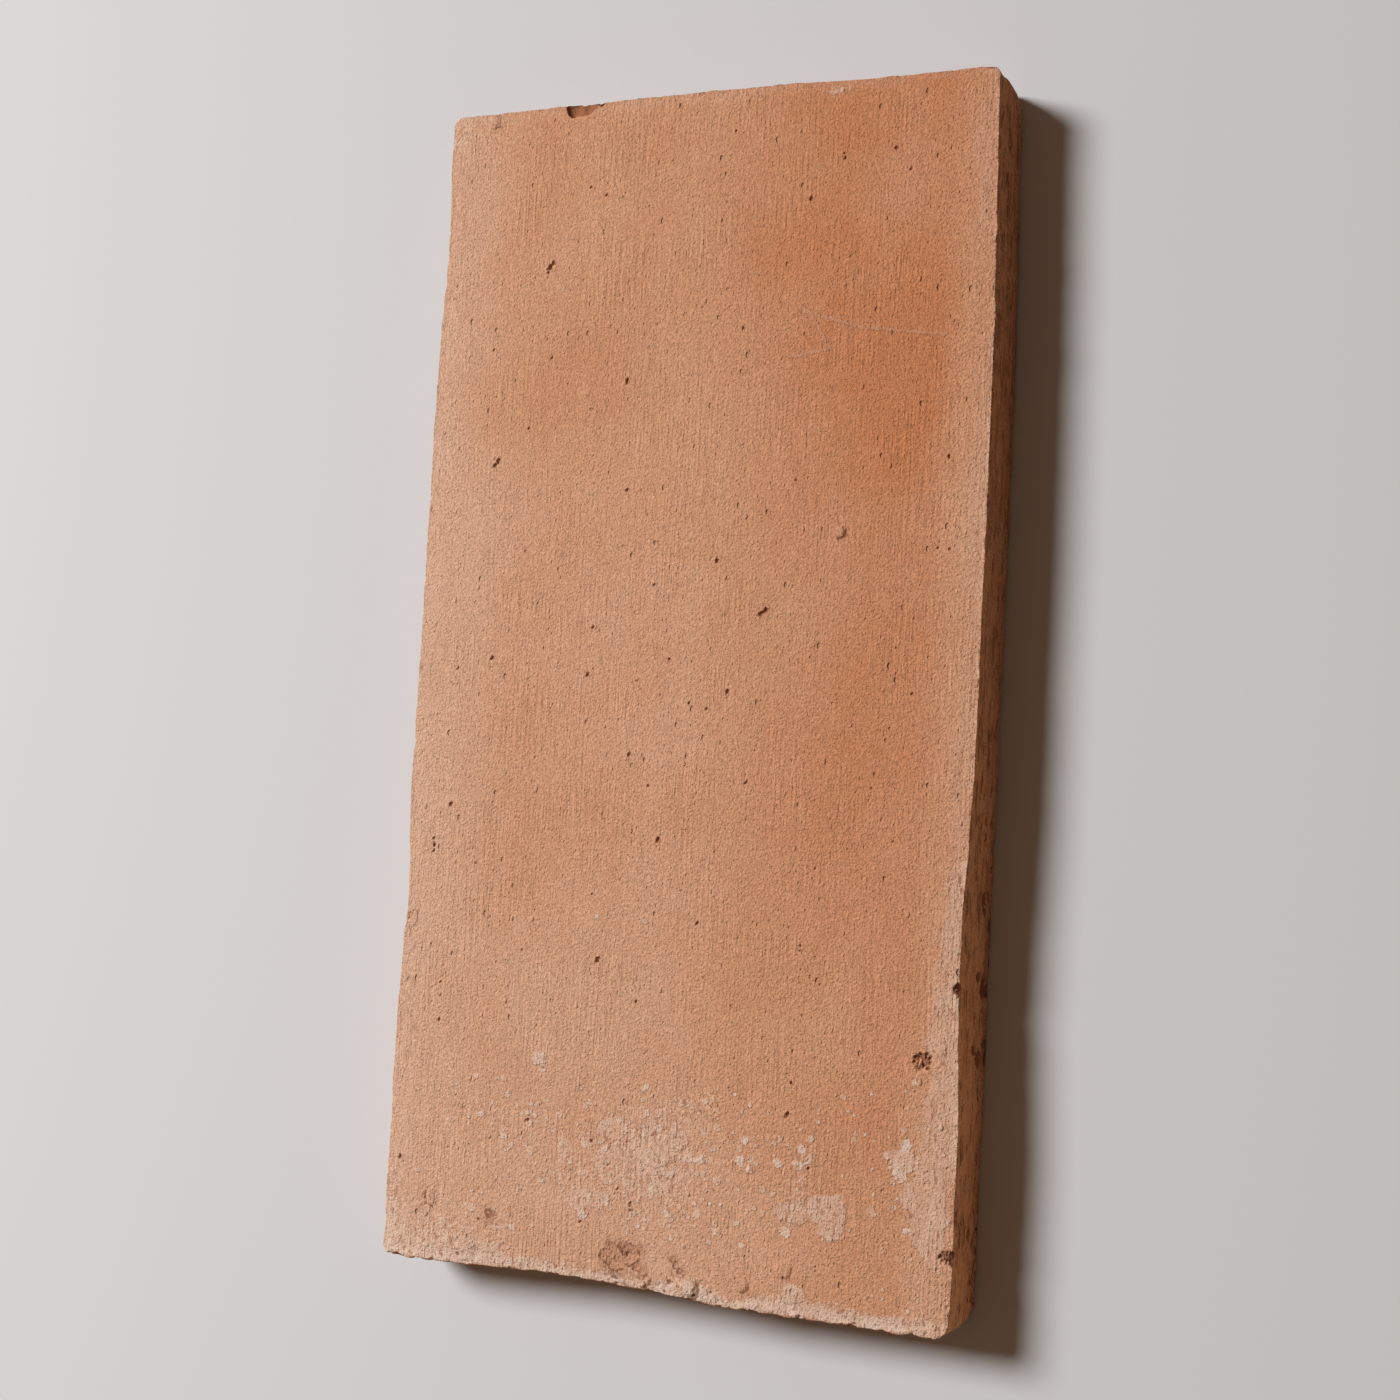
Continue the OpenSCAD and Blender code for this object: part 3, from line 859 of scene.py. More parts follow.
def sheet_places(table, triangles, part):
    """Where each triangle's corners lie on the finish's own sheet, from 0 to 1. The top is
    laid out flat with its arris, the sides are strips beside it, and the bed is at half
    scale. Round an arris the skin spreads outwards by 0.6 of its drop."""
    corner = table[triangles]
    x, y, z = corner[..., 0], corner[..., 1], corner[..., 2]
    drop = 0.6 * np.where(part[:, None] == TOP, THICK - z, z)
    u, v = x + corner[..., 3] * drop, y + corner[..., 4] * drop
    first_strip = 2 * HALF_W + 8
    layouts = {
        TOP: (u + HALF_W + 4, v + SHEET / 2),
        BED: ((u + HALF_W) / 2 + first_strip + 3 * STRIP + 3, (v + HALF_L) / 2 + 3),
        RIGHT: (first_strip + z, y + SHEET / 2),
        LEFT: (first_strip + STRIP + z, y + SHEET / 2),
        FAR: (first_strip + 2 * STRIP + z, x + HALF_W + 0.4),
        NEAR: (first_strip + 2 * STRIP + z, x + SHEET - HALF_W - 0.4),
    }
    places = np.zeros(corner.shape[:2] + (2,))
    for kind, layout in layouts.items():
        chosen = part == kind
        places[chosen] = np.stack(layout, axis=-1)[chosen] / SHEET
    return places


def worn_clay(points, normals, inset):
    """Where the relief, the pits, the chips and the broken corners take the skin's points,
    and the fields that the finish reads at each point."""
    up = normals[:, 2]
    on_face = smoothstep(up, 0.5, 0.98)
    on_bed = smoothstep(-up, 0.5, 0.98)
    on_side = 1 - on_face - on_bed

    crumble = near_crumble(points, inset) * (1 - on_bed)
    inside, pit_size = pit_field(points)
    inside = np.where(up > 0.9, inside, -1)
    pit = pit_size * PIT_DEPTH * (1 - (1 - np.clip(inside, 0, 1)) ** 3)
    rim = PIT_RIM_HEIGHT * pit_size * bell(inside, -0.20, 0.18)

    height, painted_flake_shadow = face_relief(points, inset)
    relief = on_face * (height + rim * (up > 0.9))
    relief += on_side * side_relief(points, normals)
    relief += on_bed * bed_relief(points)
    ridges = layered(points, CRUMB_RIDGES, np.abs)
    relief -= crumble * (CRUMBLE_DEPTH - np.minimum(1.8 * ridges, 0.9) + 0.30 * rough(points, 5, 75))
    # Darker in the valleys between crumbs: partly dirt, partly painted shade
    crack = smoothstep(crumble, 0.25, 0.7) * falling(ridges, 0.10, 0.28)
    # The painted shadow under the raised flakes joins the darkening of the cracks
    crack = np.maximum(crack, painted_flake_shadow * on_face)
    crumbs = layered(points, HOLE_CRUMBS, np.abs)
    ragged = 0.35 * rough(points, 1.6, 57)
    for across, along, reach in CRUMBLED_HOLES:
        away = np.linalg.norm(points[:, :2] - place(across, along), axis=1) / reach
        hole = falling(away + ragged, 0.75, 1.1) * (up > 0.3)
        relief -= HOLE_DEPTH * hole * (0.9 - crumbs)
        # Darker in the valleys of a crumbled hole: partly dirt, partly painted shade
        crack = np.maximum(crack, hole * falling(crumbs, 0.25, 0.55))
    moved = points + normals * (np.minimum(relief, BLISTER_H) - pit)[:, None]
    broken, stain = lose_clay(moved)
    moved, corner_broken = break_corners(moved)
    moved = np.clip(moved, [-HALF_W, -HALF_L, 0], [HALF_W, HALF_L, high[2]])

    lime = lime_film(points, inset, on_face, on_side)
    flake, flake_white = lime_flakes(points, inset, up)
    low_down = smoothstep(-points[:, 1], 100, 140) * (0.8 + 0.5 * rough(points, 16, 99))
    return moved, {
        "tone": tone_and_painted_light(points),
        "lime": lime,
        "bleach": bleached(points, inset, on_face),
        "flake": flake,
        "flake_white": flake_white,
        "speckle": np.clip(lime + 0.62 * low_down, 0, 1) * on_face,
        "crack": np.maximum(crack, stain * on_face),
        "broken": np.maximum(broken, corner_broken),
        "hollow": inside,
        "pit_floor": smoothstep(inside, 0.35, 0.75) * smoothstep(pit_size, 0.72, 0.92),
        "crumble": crumble,
        "wear_face": on_face,
    }


def tile_mesh():
    """The tile's mesh: the worn skin, its sheet for the finish, and its fields."""
    table, triangles, part = split_edges(*skin())
    points, fields = worn_clay(table[:, :3], table[:, 3:6], table[:, 6])
    mesh = bpy.data.meshes.new("tile_body")
    mesh.vertices.add(len(points))
    mesh.vertices.foreach_set("co", (points * MM).astype(np.float32).ravel())
    mesh.loops.add(triangles.size)
    mesh.loops.foreach_set("vertex_index", triangles.astype(np.int32).ravel())
    mesh.polygons.add(len(triangles))
    mesh.polygons.foreach_set("loop_start", 3 * np.arange(len(triangles), dtype=np.int32))
    mesh.polygons.foreach_set("use_smooth", np.ones(len(triangles), bool))
    mesh.update(calc_edges=True)
    sheet = mesh.uv_layers.new(name="OFBake")
    sheet.data.foreach_set("uv", sheet_places(table, triangles, part).astype(np.float32).ravel())
    for name, values in fields.items():
        layer = mesh.attributes.new(name, "FLOAT", "POINT")
        layer.data.foreach_set("value", values.astype(np.float32))
    mesh.validate()
    return mesh


# -------------------------------------------------------------- broad colours of the clay

# Redder clay: place across, place along, half width and half height in mm, strength. Where
# the strength is below 0 the clay is paler
TONE_BLOOMS = [
    (0.68, 0.46, 20, 36, 0.26),
    (0.22, 0.72, 17, 15, 0.28),
    (-0.21, 0.92, 10, 10, 0.18),
    (0.50, 0.90, 15, 11, 0.14),
    (-0.35, 0.60, 12, 16, 0.08),
    (0.60, -0.08, 14, 22, 0.08),
    (0.72, -0.70, 14, 26, 0.06),
    (0.45, 0.02, 9, 12, 0.10),
    (-0.92, 0.12, 10, 72, -0.22),
    (0.72, 0.84, 16, 18, -0.30),
    (-0.40, -0.50, 20, 22, -0.12),
    (-0.05, -0.46, 20, 30, -0.08),
    (-0.22, 0.40, 7, 16, -0.12),
    (-0.02, 0.20, 12, 20, -0.08),
    (-0.57, 0.72, 9, 9, -0.16),
    (0.60, 0.66, 16, 5, -0.08),
    (0.45, -0.93, 40, 30, -0.17),
    (-0.40, 0.78, 50, 42, -0.12),
    (0.55, 0.58, 15, 30, -0.10),
    (0.90, 0.58, 10, 36, -0.12),
    (0.60, -0.55, 16, 40, -0.09),
]


def blooms(points, spots):
    """Soft spots added up: strength * exp(-(x / half width)^2 - (y / half height)^2)."""
    total = np.zeros(len(points))
    for across, along, half_w, half_h, strength in spots:
        away = (points[:, :2] - place(across, along)) / [half_w, half_h]
        total += strength * np.exp(-np.sum(away * away, axis=1))
    return total


def tone_and_painted_light(points):
    """How red the clay is, from 0 at its palest to 1: redder on the right and at the far
    end, paler along the long edges and the near end, with blooms. Along the length it is
    partly painted shade, redder and darker at the far end, and painted light, paler at the
    near end."""
    x, y = points[:, 0], points[:, 1]
    tone = 0.34 + 0.38 * smoothstep(x, 0, 65) - 0.30 * smoothstep(x, 80, 95)
    tone -= 0.34 * falling(x, -98, -58)
    # Partly painted shade and light: redder and darker towards the far end, paler towards the near
    # end
    tone += 0.20 * smoothstep(y, 50, 110) - 0.14 * falling(y, -170, -60)
    tone += blooms(points, TONE_BLOOMS)
    return np.clip(tone + 0.06 * rough(points, 22, 81), 0, 1.3)


# Haze of lime on the wear face: place across, place along, half sizes in mm, strength
LIME_BLOOMS = [
    (0.02, -0.78, 17, 20, 0.44),
    (-0.14, -0.80, 32, 20, 0.37),
    (-0.50, -0.76, 30, 20, 0.26),
    (0.54, -0.84, 18, 10, 0.30),
    (0.50, -0.74, 12, 10, 0.25),
    (0.90, -0.75, 11, 30, 0.10),
    (0.86, -0.70, 14, 16, 0.08),
    (0.20, -0.70, 16, 12, 0.20),
    (-0.97, -0.96, 12, 11, 0.95),
    (-0.74, -0.965, 14, 5, 0.60),
    (-0.66, -0.92, 20, 8, 0.35),
    (-0.94, 0.96, 10, 9, 0.40),
    (-0.57, 0.70, 9, 8, 0.12),
    (0.435, 0.975, 4, 2, 0.8),
]


def lime_film(points, inset, on_face, on_side):
    """How much lime hazes the clay: blooms, the strips along the long edges, and the
    crumbly near end. The sides have a little, in streaks."""
    x, y = points[:, 0], points[:, 1]
    film = blooms(points, LIME_BLOOMS)
    along_edge = smoothstep(x, 90, 97) * smoothstep(y, -176, -164)
    film += 0.45 * falling(inset, 0.6, 1.8) * along_edge * (1 - worn_corner(points, inset))
    near_w = 7.5 + near_wander(points)
    film += 0.92 * falling(HALF_L + y, 0.30 * near_w, near_w)
    streaks = 0.18 + 0.22 * rough(points, 6, 94, (1, 4, 1))
    return np.clip(film, 0, 1) * on_face + np.clip(streaks, 0, 1) * on_side


def near_wander(points):
    """How the borders of the pale bands along the near end wander, in mm."""
    return 4.0 * rough(points, 15, 93)


def worn_corner(points, inset):
    """1 along the right arris near the near end, where wear has taken the lime off: a
    narrow line that widens towards the corner."""
    width = 2.8 + 1.2 * smoothstep(-points[:, 1], 168, 178) + 0.9 * rough(points, 3, 88)
    near_corner = smoothstep(-points[:, 1], 149, 155) * smoothstep(points[:, 0], 88, 93)
    return near_corner * falling(inset - width, -0.5, 0.7)


def bleached(points, inset, on_face):
    """How pale the clay is along the edges, where it was wetted and dried: a band along
    each, with a soft border that wanders."""
    x, y = points[:, 0], points[:, 1]
    right_w = 8.5 + 3.0 * rough(points, 12, 91) + 1.5 * rough(points, 4, 89)
    right_w += 3.0 * smoothstep(-y, 120, 145) - 5.0 * smoothstep(-y, 158, 180)
    # Each band: distance from its edge, width, the shares of it where it fades, how pale
    bands = [
        (HALF_W - x, right_w, 0.6, 1.1, 0.40),
        (HALF_L + y, 6.0 + near_wander(points), 0.3, 1.0, 1.40),
        (HALF_W + x, 10.0 + 3.0 * rough(points, 30, 92), 0.3, 1.2, 0.44),
        (HALF_L - y, 5.0 + 2.0 * rough(points, 12, 90), 0.5, 1.0, 0.35),
    ]
    pale = sum(
        strength * falling(distance, first * width, last * width)
        for distance, width, first, last, strength in bands
    )
    return np.minimum(pale, 1.4) * on_face * (1 - worn_corner(points, inset))


# How white the spots, the patches, the strip and the scratches are
SPOT_WHITE, PATCH_WHITE, STRIP_WHITE, SCRATCH_WHITE = 0.58, 0.34, 0.19, 0.13
# The strip's steps: how much wider it gets, and where each starts and ends along the near half
STRIP_STEPS = [(8.3, 0.24, 0.30), (4.0, 0.42, 0.46), (2.0, 0.66, 0.72), (-12.0, 0.84, 0.94)]


def lime_flakes(points, inset, up):
    """How far inside a spot, a patch, a scratch, the strip or the blister's disc each point is,
    in mm, and how white that is. The blister's pale disc is partly lime and partly a painted
    highlight of its lit dome. The strip runs along the right edge from the near end and
    narrows in steps to nothing short of the middle."""
    uneven = layered(points, SPOT_RIM)
    nearness = -points[:, 1] / HALF_L
    strip_w = sum(wider * smoothstep(nearness, start, end) for wider, start, end in STRIP_STEPS)
    strip_w += 1.8 * rough(points, 11, 97) + 1.6 * rough(points, 4, 98) - 0.5
    inside = strip_w + 4 * uneven - (HALF_W - points[:, 0])
    inside = np.where(worn_corner(points, inset) > 0.5, -3, inside)
    white = np.full(len(points), STRIP_WHITE)
    marks = [(*patch, PATCH_WHITE) for patch in LIME_PATCHES]
    # Partly a painted highlight: a pale disc on the blister's lit dome
    marks.append((*RAISED[0][:2], 1.8, 1.8, SCRATCH_WHITE))
    spots = LIME_SPOTS + scattered_spots()
    marks += [(across, along, size, size, SPOT_WHITE) for across, along, size in spots]
    nearby = Nearby(points)
    for across, along, half_w, half_h, whiteness in marks:
        middle = place(across, along)
        near = nearby.around(middle[0], half_w + 3)
        away = np.linalg.norm((points[near, :2] - middle) / [half_w, half_h], axis=1)
        here = (1 - away * (1 + 1.4 * uneven[near])) * min(half_w, half_h)
        nearer = here > inside[near]
        inside[near] = np.where(nearer, here, inside[near])
        white[near] = np.where(nearer & (away < 1.5), whiteness, white[near])
    for start, end, strength in SCRATCHES:
        here = 0.7 - off_line(points, start, end)
        nearer = here > inside
        inside = np.where(nearer, here, inside)
        white = np.where(nearer & (here > -1), SCRATCH_WHITE * strength, white)
    return np.where(up > 0.5, np.clip(inside, -3, 3), -3), white


# --------------------------------------------------------------------------- the finish


class Finish:
    """Short calls that add nodes to one tree and link them."""

    def __init__(self, tree):
        self.tree = tree
        tree.nodes.clear()

    def node(self, kind, inputs=(), **settings):
        made = self.tree.nodes.new(kind)
        for key, value in settings.items():
            setattr(made, key, value)
        for key, value in dict(inputs).items():
            if isinstance(value, bpy.types.NodeSocket):
                self.tree.links.new(value, made.inputs[key])
            else:
                made.inputs[key].default_value = value
        return made

    def math(self, operation, first, *others):
        """The operation on the first two values, then on the result and the next one."""
        for other in others:
            made = self.node("ShaderNodeMath", {0: first, 1: other}, operation=operation)
            first = made.outputs[0]
        return first

    def add(self, *terms):
        return self.math("ADD", *terms)

    def times(self, *factors):
        return self.math("MULTIPLY", *factors)

    def most(self, *values):
        return self.math("MAXIMUM", *values)

    def least(self, *values):
        return self.math("MINIMUM", *values)

    def size(self, value):
        return self.node("ShaderNodeMath", {0: value}, operation="ABSOLUTE").outputs[0]

    def step(self, value, start, end, low=0.0, high=1.0):
        """Smoothly from low before start to high after end."""
        inputs = {"Value": value, "From Min": start, "From Max": end, "To Min": low, "To Max": high}
        made = self.node("ShaderNodeMapRange", inputs, interpolation_type="SMOOTHSTEP")
        return made.outputs["Result"]

    def noise(self, vector, scale, detail=2.0, roughness=0.5):
        inputs = {"Vector": vector, "Scale": scale, "Detail": detail, "Roughness": roughness}
        return self.node("ShaderNodeTexNoise", inputs).outputs["Fac"]

    def uneven(self, noise, amount):
        """A noise about 0, times an amount."""
        return self.times(self.add(noise, -0.5), amount)

    def stretched(self, vector, scale, lean=0.0):
        inputs = {"Vector": vector, "Scale": scale, "Rotation": (0.0, 0.0, lean)}
        return self.node("ShaderNodeMapping", inputs).outputs[0]

    def web(self, vector, cells):
        """The distance from the middle of a web's cell, and three numbers of its own."""
        made = self.node("ShaderNodeTexVoronoi", {"Vector": vector, "Scale": cells})
        own = self.node("ShaderNodeSeparateColor", {"Color": made.outputs["Color"]})
        return made.outputs["Distance"], own.outputs

    def field(self, name):
        return self.node("ShaderNodeAttribute", attribute_name=name).outputs["Fac"]

    def blend(self, share, a, b, kind="MIX"):
        inputs = {0: share, 6: a, 7: b}
        return self.node("ShaderNodeMix", inputs, data_type="RGBA", blend_type=kind).outputs[2]


def new_material(name):
    """A material, and the short calls that fill its tree."""
    material = bpy.data.materials.new(name)
    material.use_nodes = True
    return material, Finish(material.node_tree)


def colour(red, green, blue):
    return (red, green, blue, 1.0)


PALE_CLAY = colour(0.604, 0.354, 0.234)
MID_CLAY = colour(0.559, 0.284, 0.163)
RED_CLAY = colour(0.493, 0.191, 0.084)
LIME = colour(0.698, 0.541, 0.440)
BROKEN_CLAY = colour(0.330, 0.128, 0.062)
SPECK = colour(0.28, 0.10, 0.04)
PIT_DIRT_AND_SHADE = colour(0.190, 0.070, 0.026)
# Lit and shaded copies of the side clay: painted light towards the near end, painted shade towards
# the far end, where the dirt colour also stands for shade
FAR_SIDE_SHADED_CLAY = colour(0.460, 0.215, 0.106)
NEAR_SIDE_LIT_CLAY = colour(0.760, 0.385, 0.205)
SIDE_DIRT_AND_SHADE = colour(0.220, 0.085, 0.036)


FIELDS = (
    "tone", "lime", "bleach", "flake", "flake_white", "speckle", "crack", "broken", "hollow",
    "pit_floor", "crumble", "wear_face",
)


def patterns(f):
    """What the layers of the finish share: the fields of the mesh, and the patterns of the
    clay. A pattern's scale is how many of its cells fit in a metre."""
    p = SimpleNamespace(**{name: f.field(name) for name in FIELDS})
    spot = p.spot = f.node("ShaderNodeTexCoord").outputs["Object"]
    p.off_face = f.add(1.0, f.times(p.wear_face, -1.0))
    p.grains, p.grain_domes = sand(f, spot, 1900.0)
    _, p.coarse_domes = sand(f, spot, 950.0)
    p.grain = f.noise(spot, 1250.0, 2.0, 0.65)
    p.lumps = f.noise(spot, 500.0, 2.0, 0.55)
    p.mottle = f.noise(spot, 150.0, 3.0, 0.60)
    p.cracks = f.noise(spot, 560.0, 4.0, 0.7)
    p.wide_drags = f.noise(f.stretched(spot, (1.0, 0.12, 1.0)), 240.0, 2.0)
    drags = f.noise(f.stretched(spot, (1.0, 0.05, 1.0)), 1150.0, 1.0)
    combed = f.step(f.noise(spot, 45.0, 2.0), 0.38, 0.66, 0.20, 1.0)
    p.face_drags = f.times(f.uneven(drags, combed), p.wear_face)
    p.pocks, p.pock_depth = pocks_and_pimples(f, spot, 300.0, 0.25, 0.68)
    _, p.speck_depth = pocks_and_pimples(f, spot, 620.0, 0.32, 0.45)
    fissures = f.noise(f.stretched(spot, (0.12, 0.12, 1.0)), 260.0, 3.0, 0.55)
    fissures = f.step(f.size(f.add(fissures, -0.5)), 0.006, 0.024, 1.0, 0.0)
    p.fissures = f.times(fissures, f.step(p.mottle, 0.40, 0.55), p.off_face)
    p.ragged = f.add(p.flake, f.uneven(p.grain, 1.2), f.uneven(p.lumps, 1.0))
    p.splashed = f.most(
        splashes(f, spot, 340.0, p.speckle), splashes(f, spot, 190.0, p.speckle)
    )
    return p


def face_clay(f, p):
    """The wear face's clay: the broad tone, streaked and mottled."""
    broad = f.noise(p.spot, 28.0, 3.0)
    streaked = f.add(
        f.uneven(broad, 0.45), f.uneven(p.wide_drags, 0.12), f.uneven(p.mottle, 0.30)
    )
    ramp = f.node("ShaderNodeValToRGB", {"Fac": f.add(p.tone, streaked)})
    ramp.color_ramp.elements[0].color = PALE_CLAY
    ramp.color_ramp.elements[1].color = RED_CLAY
    ramp.color_ramp.elements.new(0.42).color = MID_CLAY
    return ramp.outputs["Color"]


def side_clay_with_painted_light(f, p):
    """The cut sides' clay: streaks and fissures along them. Painted light makes it paler
    towards the near end, and painted shade darker and grimier towards the far end.
    """
    streaks = f.noise(f.stretched(p.spot, (0.10, 0.10, 1.0)), 420.0, 3.0, 0.60)
    grime_and_painted_shade = f.step(f.add(streaks, f.uneven(p.mottle, 0.7), f.uneven(p.lumps, 0.4)), 0.44, 0.66)
    along = f.node("ShaderNodeSeparateXYZ", {"Vector": p.spot}).outputs["Y"]
    far_end_painted_shade = f.step(along, -0.19, 0.11)
    # Painted shade: the grime grows towards the far end, and the clay passes from its lit copy to
    # its shaded one
    grime_and_painted_shade = f.times(grime_and_painted_shade, f.add(0.20, f.times(far_end_painted_shade, 0.42)))
    side = f.blend(grime_and_painted_shade, f.blend(far_end_painted_shade, NEAR_SIDE_LIT_CLAY, FAR_SIDE_SHADED_CLAY), SIDE_DIRT_AND_SHADE)
    return f.blend(f.times(p.fissures, 0.8), side, PIT_DIRT_AND_SHADE)


def sanded(f, p, clay):
    """The clay with its sand grains, paler on top and darker between, and dark specks."""
    shade = f.add(
        1.0, f.uneven(p.grains, 0.28), f.uneven(p.grain, 0.60), f.uneven(p.lumps, 0.22),
        f.times(p.face_drags, 0.38),
    )
    grey = f.node("ShaderNodeCombineColor", {"Red": shade, "Green": shade, "Blue": shade})
    clay = f.blend(1.0, clay, grey.outputs[0], "MULTIPLY")
    specks = f.step(f.noise(p.spot, 640.0, 2.0, 0.7), 0.66, 0.72)
    return f.blend(f.times(specks, 0.35), clay, SPECK)


def limed(f, p, clay):
    """The clay under its lime: a haze broken up by the grain and the drags, flakes with
    ragged borders, small round splashes and the pale bands, all with dark flecks."""
    haze = f.add(
        p.lime, f.uneven(p.mottle, 1.1), f.uneven(p.lumps, 1.0), f.uneven(p.wide_drags, 0.6),
        p.face_drags, f.uneven(p.grains, 0.35),
    )
    haze = f.times(f.step(haze, 0.32, 0.72), f.step(p.lime, 0.02, 0.20))
    worn_off = f.add(
        1.0, f.uneven(p.mottle, 3.4), f.uneven(p.lumps, 1.4), f.uneven(p.wide_drags, 1.4)
    )
    flaked = f.times(f.step(p.ragged, -0.08, 0.22), p.flake_white, worn_off)
    bleach = f.add(
        0.22, f.uneven(p.wide_drags, 0.80), f.uneven(p.mottle, 0.50), f.times(p.face_drags, 0.60)
    )
    bleach = f.times(p.bleach, f.most(bleach, 0.0))
    white = f.add(f.most(f.times(haze, 0.37), flaked), bleach)
    white = f.most(white, f.times(p.splashed, f.add(0.46, f.uneven(p.mottle, 1.6))))
    clay = f.blend(f.least(white, 0.9), clay, LIME)
    flecks = f.noise(f.stretched(p.spot, (1.0, 0.45, 1.0)), 700.0, 2.0, 0.6)
    flecks = f.times(f.least(f.times(white, 3.0), 0.6), f.step(flecks, 0.58, 0.66))
    return f.blend(flecks, clay, SPECK)


def broken_dirty_and_shaded(f, p, clay):
    """The clay with its fresh breaks and dirt in cracks; darker in pits, pocks and between
    crumbs, partly dirt and partly painted shade; and the painted shadow under raised flakes.
    """
    ragged_break = f.times(p.broken, f.step(f.add(p.broken, f.uneven(p.grain, 0.8)), 0.2, 0.5))
    clay = f.blend(ragged_break, clay, BROKEN_CLAY)
    crumbled = f.most(f.times(p.broken, 0.45), f.times(p.crumble, 0.45))
    crack = f.add(p.crack, f.uneven(p.grain, 0.8), f.uneven(p.lumps, 0.6))
    # Pits are darkest near their rims and lighter on a large pit's floor: dirt and painted shade of
    # their walls
    pit_shade = f.step(p.pit_floor, 0.0, 1.0, 1.0, 0.25)
    # Real dirt, painted shade in pits, pocks and crumb valleys, and the painted shadow under raised
    # flakes
    dirt = f.most(
        f.times(f.step(p.cracks, 0.58, 0.66), crumbled),
        f.times(f.step(crack, 0.15, 0.65), 0.78),
        f.times(f.step(p.hollow, 0.02, 0.40), pit_shade, 0.60),
        f.times(p.pocks, p.wear_face, 0.12),
    )
    return f.blend(dirt, clay, PIT_DIRT_AND_SHADE)


def fine_relief(f, p):
    """Relief too fine for the mesh, in millimetres."""
    height = f.add(
        f.times(p.grain_domes, 0.20), f.times(p.coarse_domes, 0.20),
        f.times(p.grain, 0.30), f.times(p.lumps, 0.26), f.times(p.face_drags, 0.48),
        f.times(p.pock_depth, 0.66), f.times(p.speck_depth, 0.32),
        f.times(p.cracks, f.add(p.crumble, p.broken), 0.6),
        f.times(f.step(p.ragged, -0.1, 0.25), 0.16), f.times(p.splashed, 0.17),
        f.times(p.fissures, -0.5),
    )
    bump = f.node("ShaderNodeBump", {"Strength": 1.0, "Distance": MM, "Height": height})
    return bump.outputs["Normal"]


def clay_finish():
    """Fired clay: sandy grain, drag lines, pits, lime and dirt, with painted shade in hollows
    and under raised flakes, and painted light and shade along the sides and the length.
    """
    material, f = new_material("terracotta_clay")
    p = patterns(f)
    clay = f.blend(p.wear_face, side_clay_with_painted_light(f, p), face_clay(f, p))
    clay = broken_dirty_and_shaded(f, p, limed(f, p, sanded(f, p, clay)))
    shader = f.node("ShaderNodeBsdfPrincipled", {
        "Base Color": clay, "Roughness": f.add(0.80, f.times(p.grain, 0.16)),
        "Normal": fine_relief(f, p), "Specular IOR Level": 0.22,
    })
    f.node("ShaderNodeOutputMaterial", {"Surface": shader.outputs["BSDF"]})
    return material


def sand(f, spot, cells):
    """Grains of sand, one in each cell of a web. The first output is each grain's own
    shade, from 0 to 1. The second is their relief, low domes of unequal height."""
    distance, own = f.web(spot, cells)
    return own[0], f.times(f.step(distance, 0.0, 0.75, 1.0, 0.0), own[1])


def splashes(f, spot, cells, share):
    """1 inside small round splashes, one in each of a share of the cells of a web."""
    distance, own = f.web(spot, cells)
    size = f.least(f.times(f.math("SUBTRACT", share, own[0]), 0.46), 0.30)
    return f.step(f.math("SUBTRACT", size, distance), -0.02, 0.06)


def pocks_and_pimples(f, spot, cells, largest, fewest):
    """A pock or a pimple in some cells of a web, the share past fewest, a little longer than
    wide and leaning. The first output is 1 inside the pocks. The second is their relief, from
    -1 to 1."""
    distance, own = f.web(f.stretched(spot, (1.0, 0.62, 1.0), lean=0.45), cells)
    radius = f.step(own[0], fewest, 1.0, 0.001, largest)
    dome = f.step(f.math("DIVIDE", distance, radius), 0.35, 1.0, 1.0, 0.0)
    pock = f.times(dome, f.math("LESS_THAN", own[1], 0.60))
    return pock, f.math("SUBTRACT", f.times(dome, 0.7), f.times(pock, 1.7))


# ----------------------------------------------------------------------------- the room

FLOOR_COLOUR = colour(0.592, 0.592, 0.604)
FLOOR_BOUNCE = colour(0.560, 0.420, 0.300)
FLOOR_SIZE = 8.0
SKY_FILL = colour(1.0, 0.66, 0.42)
SKY_STRENGTH = 0.135
KEY_DIRECTION = Vector((-0.71, 0.38, 1.0)).normalized()
KEY_DISTANCE = 3.1
KEY_SIZE = 1.2
KEY_WATTS = 140.0
# Where the lamp points, past the near end, so that both ends are lit alike
KEY_AIM = Vector((-0.3, -3.2, 0.0))
CAMERA_PLACE = Vector((0.2807, -0.0475, 0.6413))
CAMERA_FORWARD = Vector((-0.4065, 0.0618, -0.9116)).normalized()
CAMERA_UP = Vector((-0.0241, 0.9966, 0.0783))
CAMERA_LENS = 35.0
CAMERA_SENSOR = 24.0


def add_object(name, data):
    """A new object in the scene."""
    made = bpy.data.objects.new(name, data)
    bpy.context.scene.collection.objects.link(made)
    return made


def seen_directly(f):
    """1 for what the camera sees, straight or in gloss or glass, and 0 for light's bounces."""
    path = f.node("ShaderNodeLightPath").outputs
    return f.most(path["Is Camera Ray"], path["Is Glossy Ray"], path["Is Transmission Ray"])


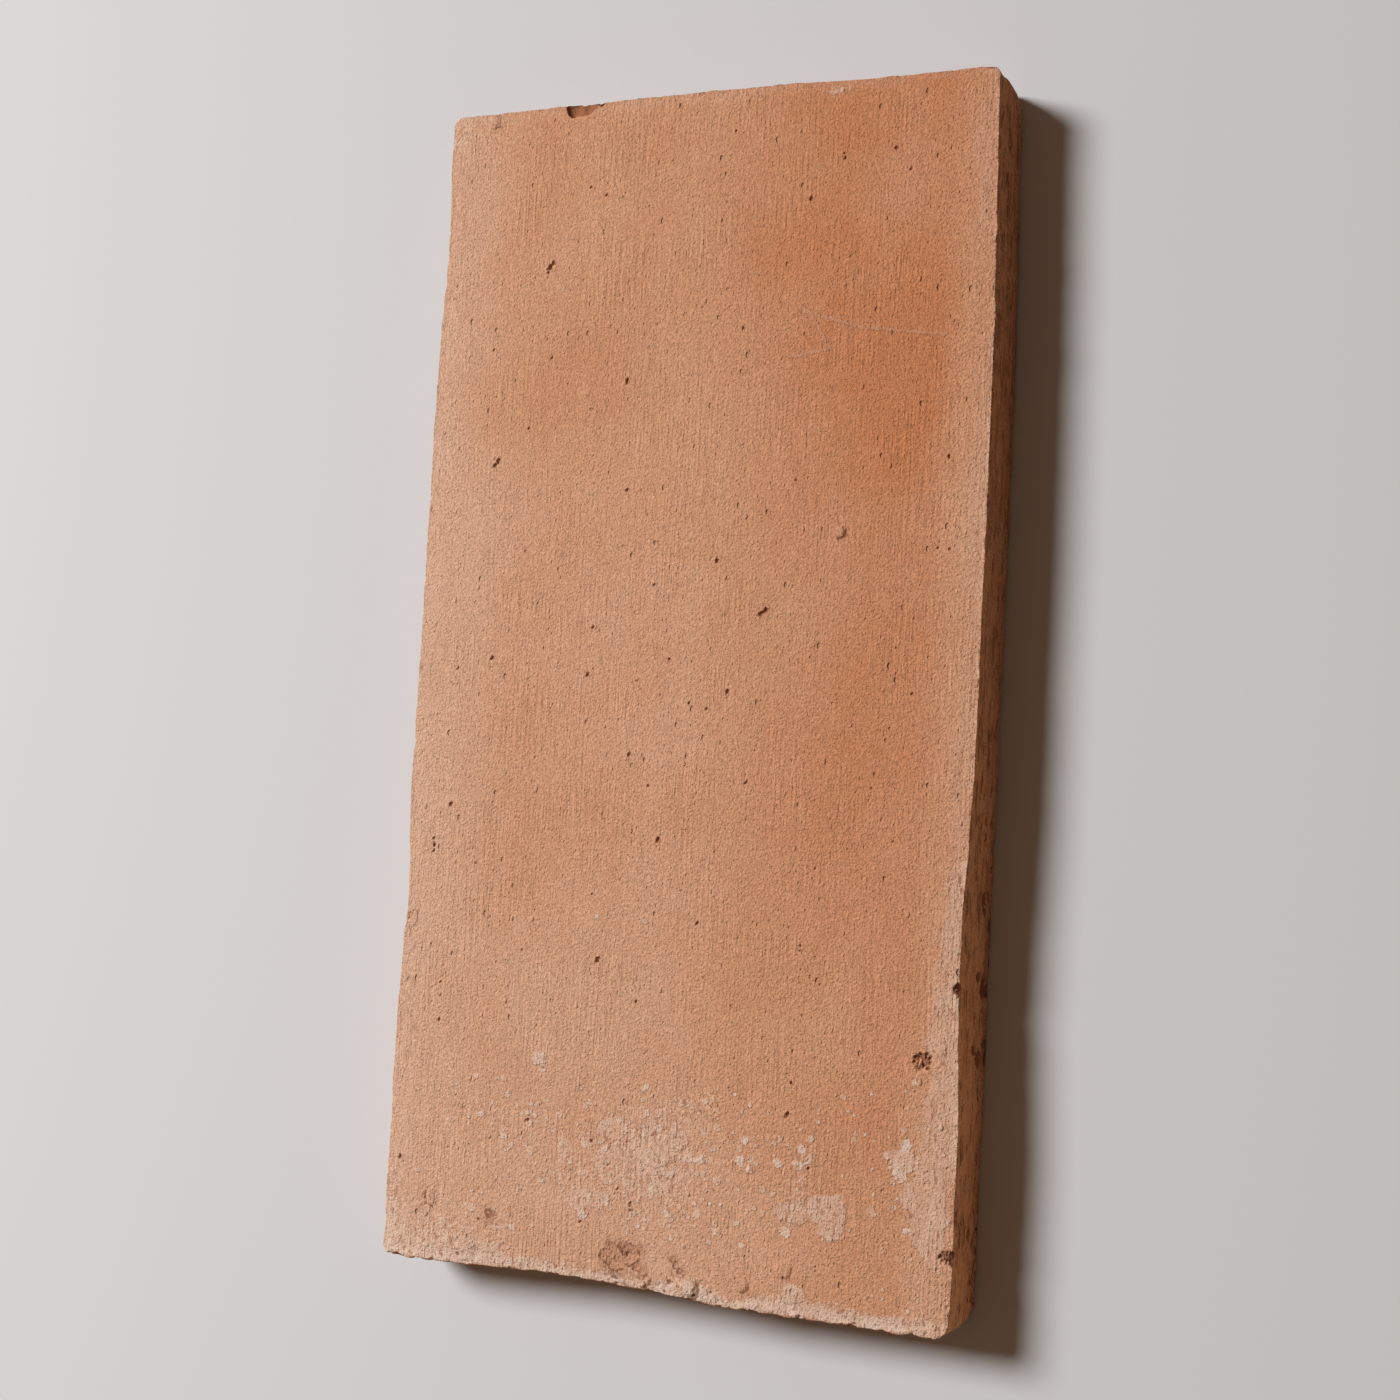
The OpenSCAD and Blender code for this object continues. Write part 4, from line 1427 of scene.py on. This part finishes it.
def pale_floor():
    """A plain pale floor that the bed rests on. It bounces warmer light than it shows."""
    mesh = bpy.data.meshes.new("floor")
    half = FLOOR_SIZE / 2
    corners = [(-half, -half, 0), (half, -half, 0), (half, half, 0), (-half, half, 0)]
    mesh.from_pydata(corners, [], [(0, 1, 2, 3)])
    material, f = new_material("pale_floor")
    shown = f.blend(seen_directly(f), FLOOR_BOUNCE, FLOOR_COLOUR)
    shader = f.node("ShaderNodeBsdfDiffuse", {"Color": shown})
    f.node("ShaderNodeOutputMaterial", {"Surface": shader.outputs[0]})
    mesh.materials.append(material)
    add_object("floor", mesh)


def soft_light():
    """A large lamp up on the left, and a weak even fill."""
    lamp = bpy.data.lights.new("window_lamp", "AREA")
    lamp.shape = "DISK"
    lamp.size = KEY_SIZE
    lamp.energy = KEY_WATTS
    holder = add_object("window_lamp", lamp)
    holder.location = KEY_DIRECTION * KEY_DISTANCE
    holder.rotation_euler = (holder.location - KEY_AIM).to_track_quat("Z", "Y").to_euler()

    world = bpy.data.worlds.new("room")
    bpy.context.scene.world = world
    world.use_nodes = True
    f = Finish(world.node_tree)
    fill = f.node("ShaderNodeBackground", {"Color": SKY_FILL, "Strength": SKY_STRENGTH}).outputs[0]
    shown = f.node("ShaderNodeBackground", {"Color": FLOOR_COLOUR}).outputs[0]
    either = f.node("ShaderNodeMixShader", {0: seen_directly(f), 1: fill, 2: shown})
    f.node("ShaderNodeOutputWorld", {"Surface": either.outputs[0]})


def camera():
    """Looks down on the tile from the right of its middle."""
    data = bpy.data.cameras.new("camera")
    data.lens = CAMERA_LENS
    data.sensor_width = CAMERA_SENSOR
    data.clip_start = 0.01
    right = CAMERA_FORWARD.cross(CAMERA_UP).normalized()
    turned = Matrix((right, right.cross(CAMERA_FORWARD), -CAMERA_FORWARD)).transposed()
    holder = add_object("camera", data)
    holder.matrix_world = Matrix.Translation(CAMERA_PLACE) @ turned.to_4x4()
    bpy.context.scene.camera = holder


bpy.context.scene.view_settings.view_transform = "Standard"
pale_floor()
soft_light()
camera()

tile = add_object("tile_body", tile_mesh())
tile.data.materials.append(clay_finish())
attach(tile, "root")
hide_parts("tile")

bpy.context.view_layer.update()
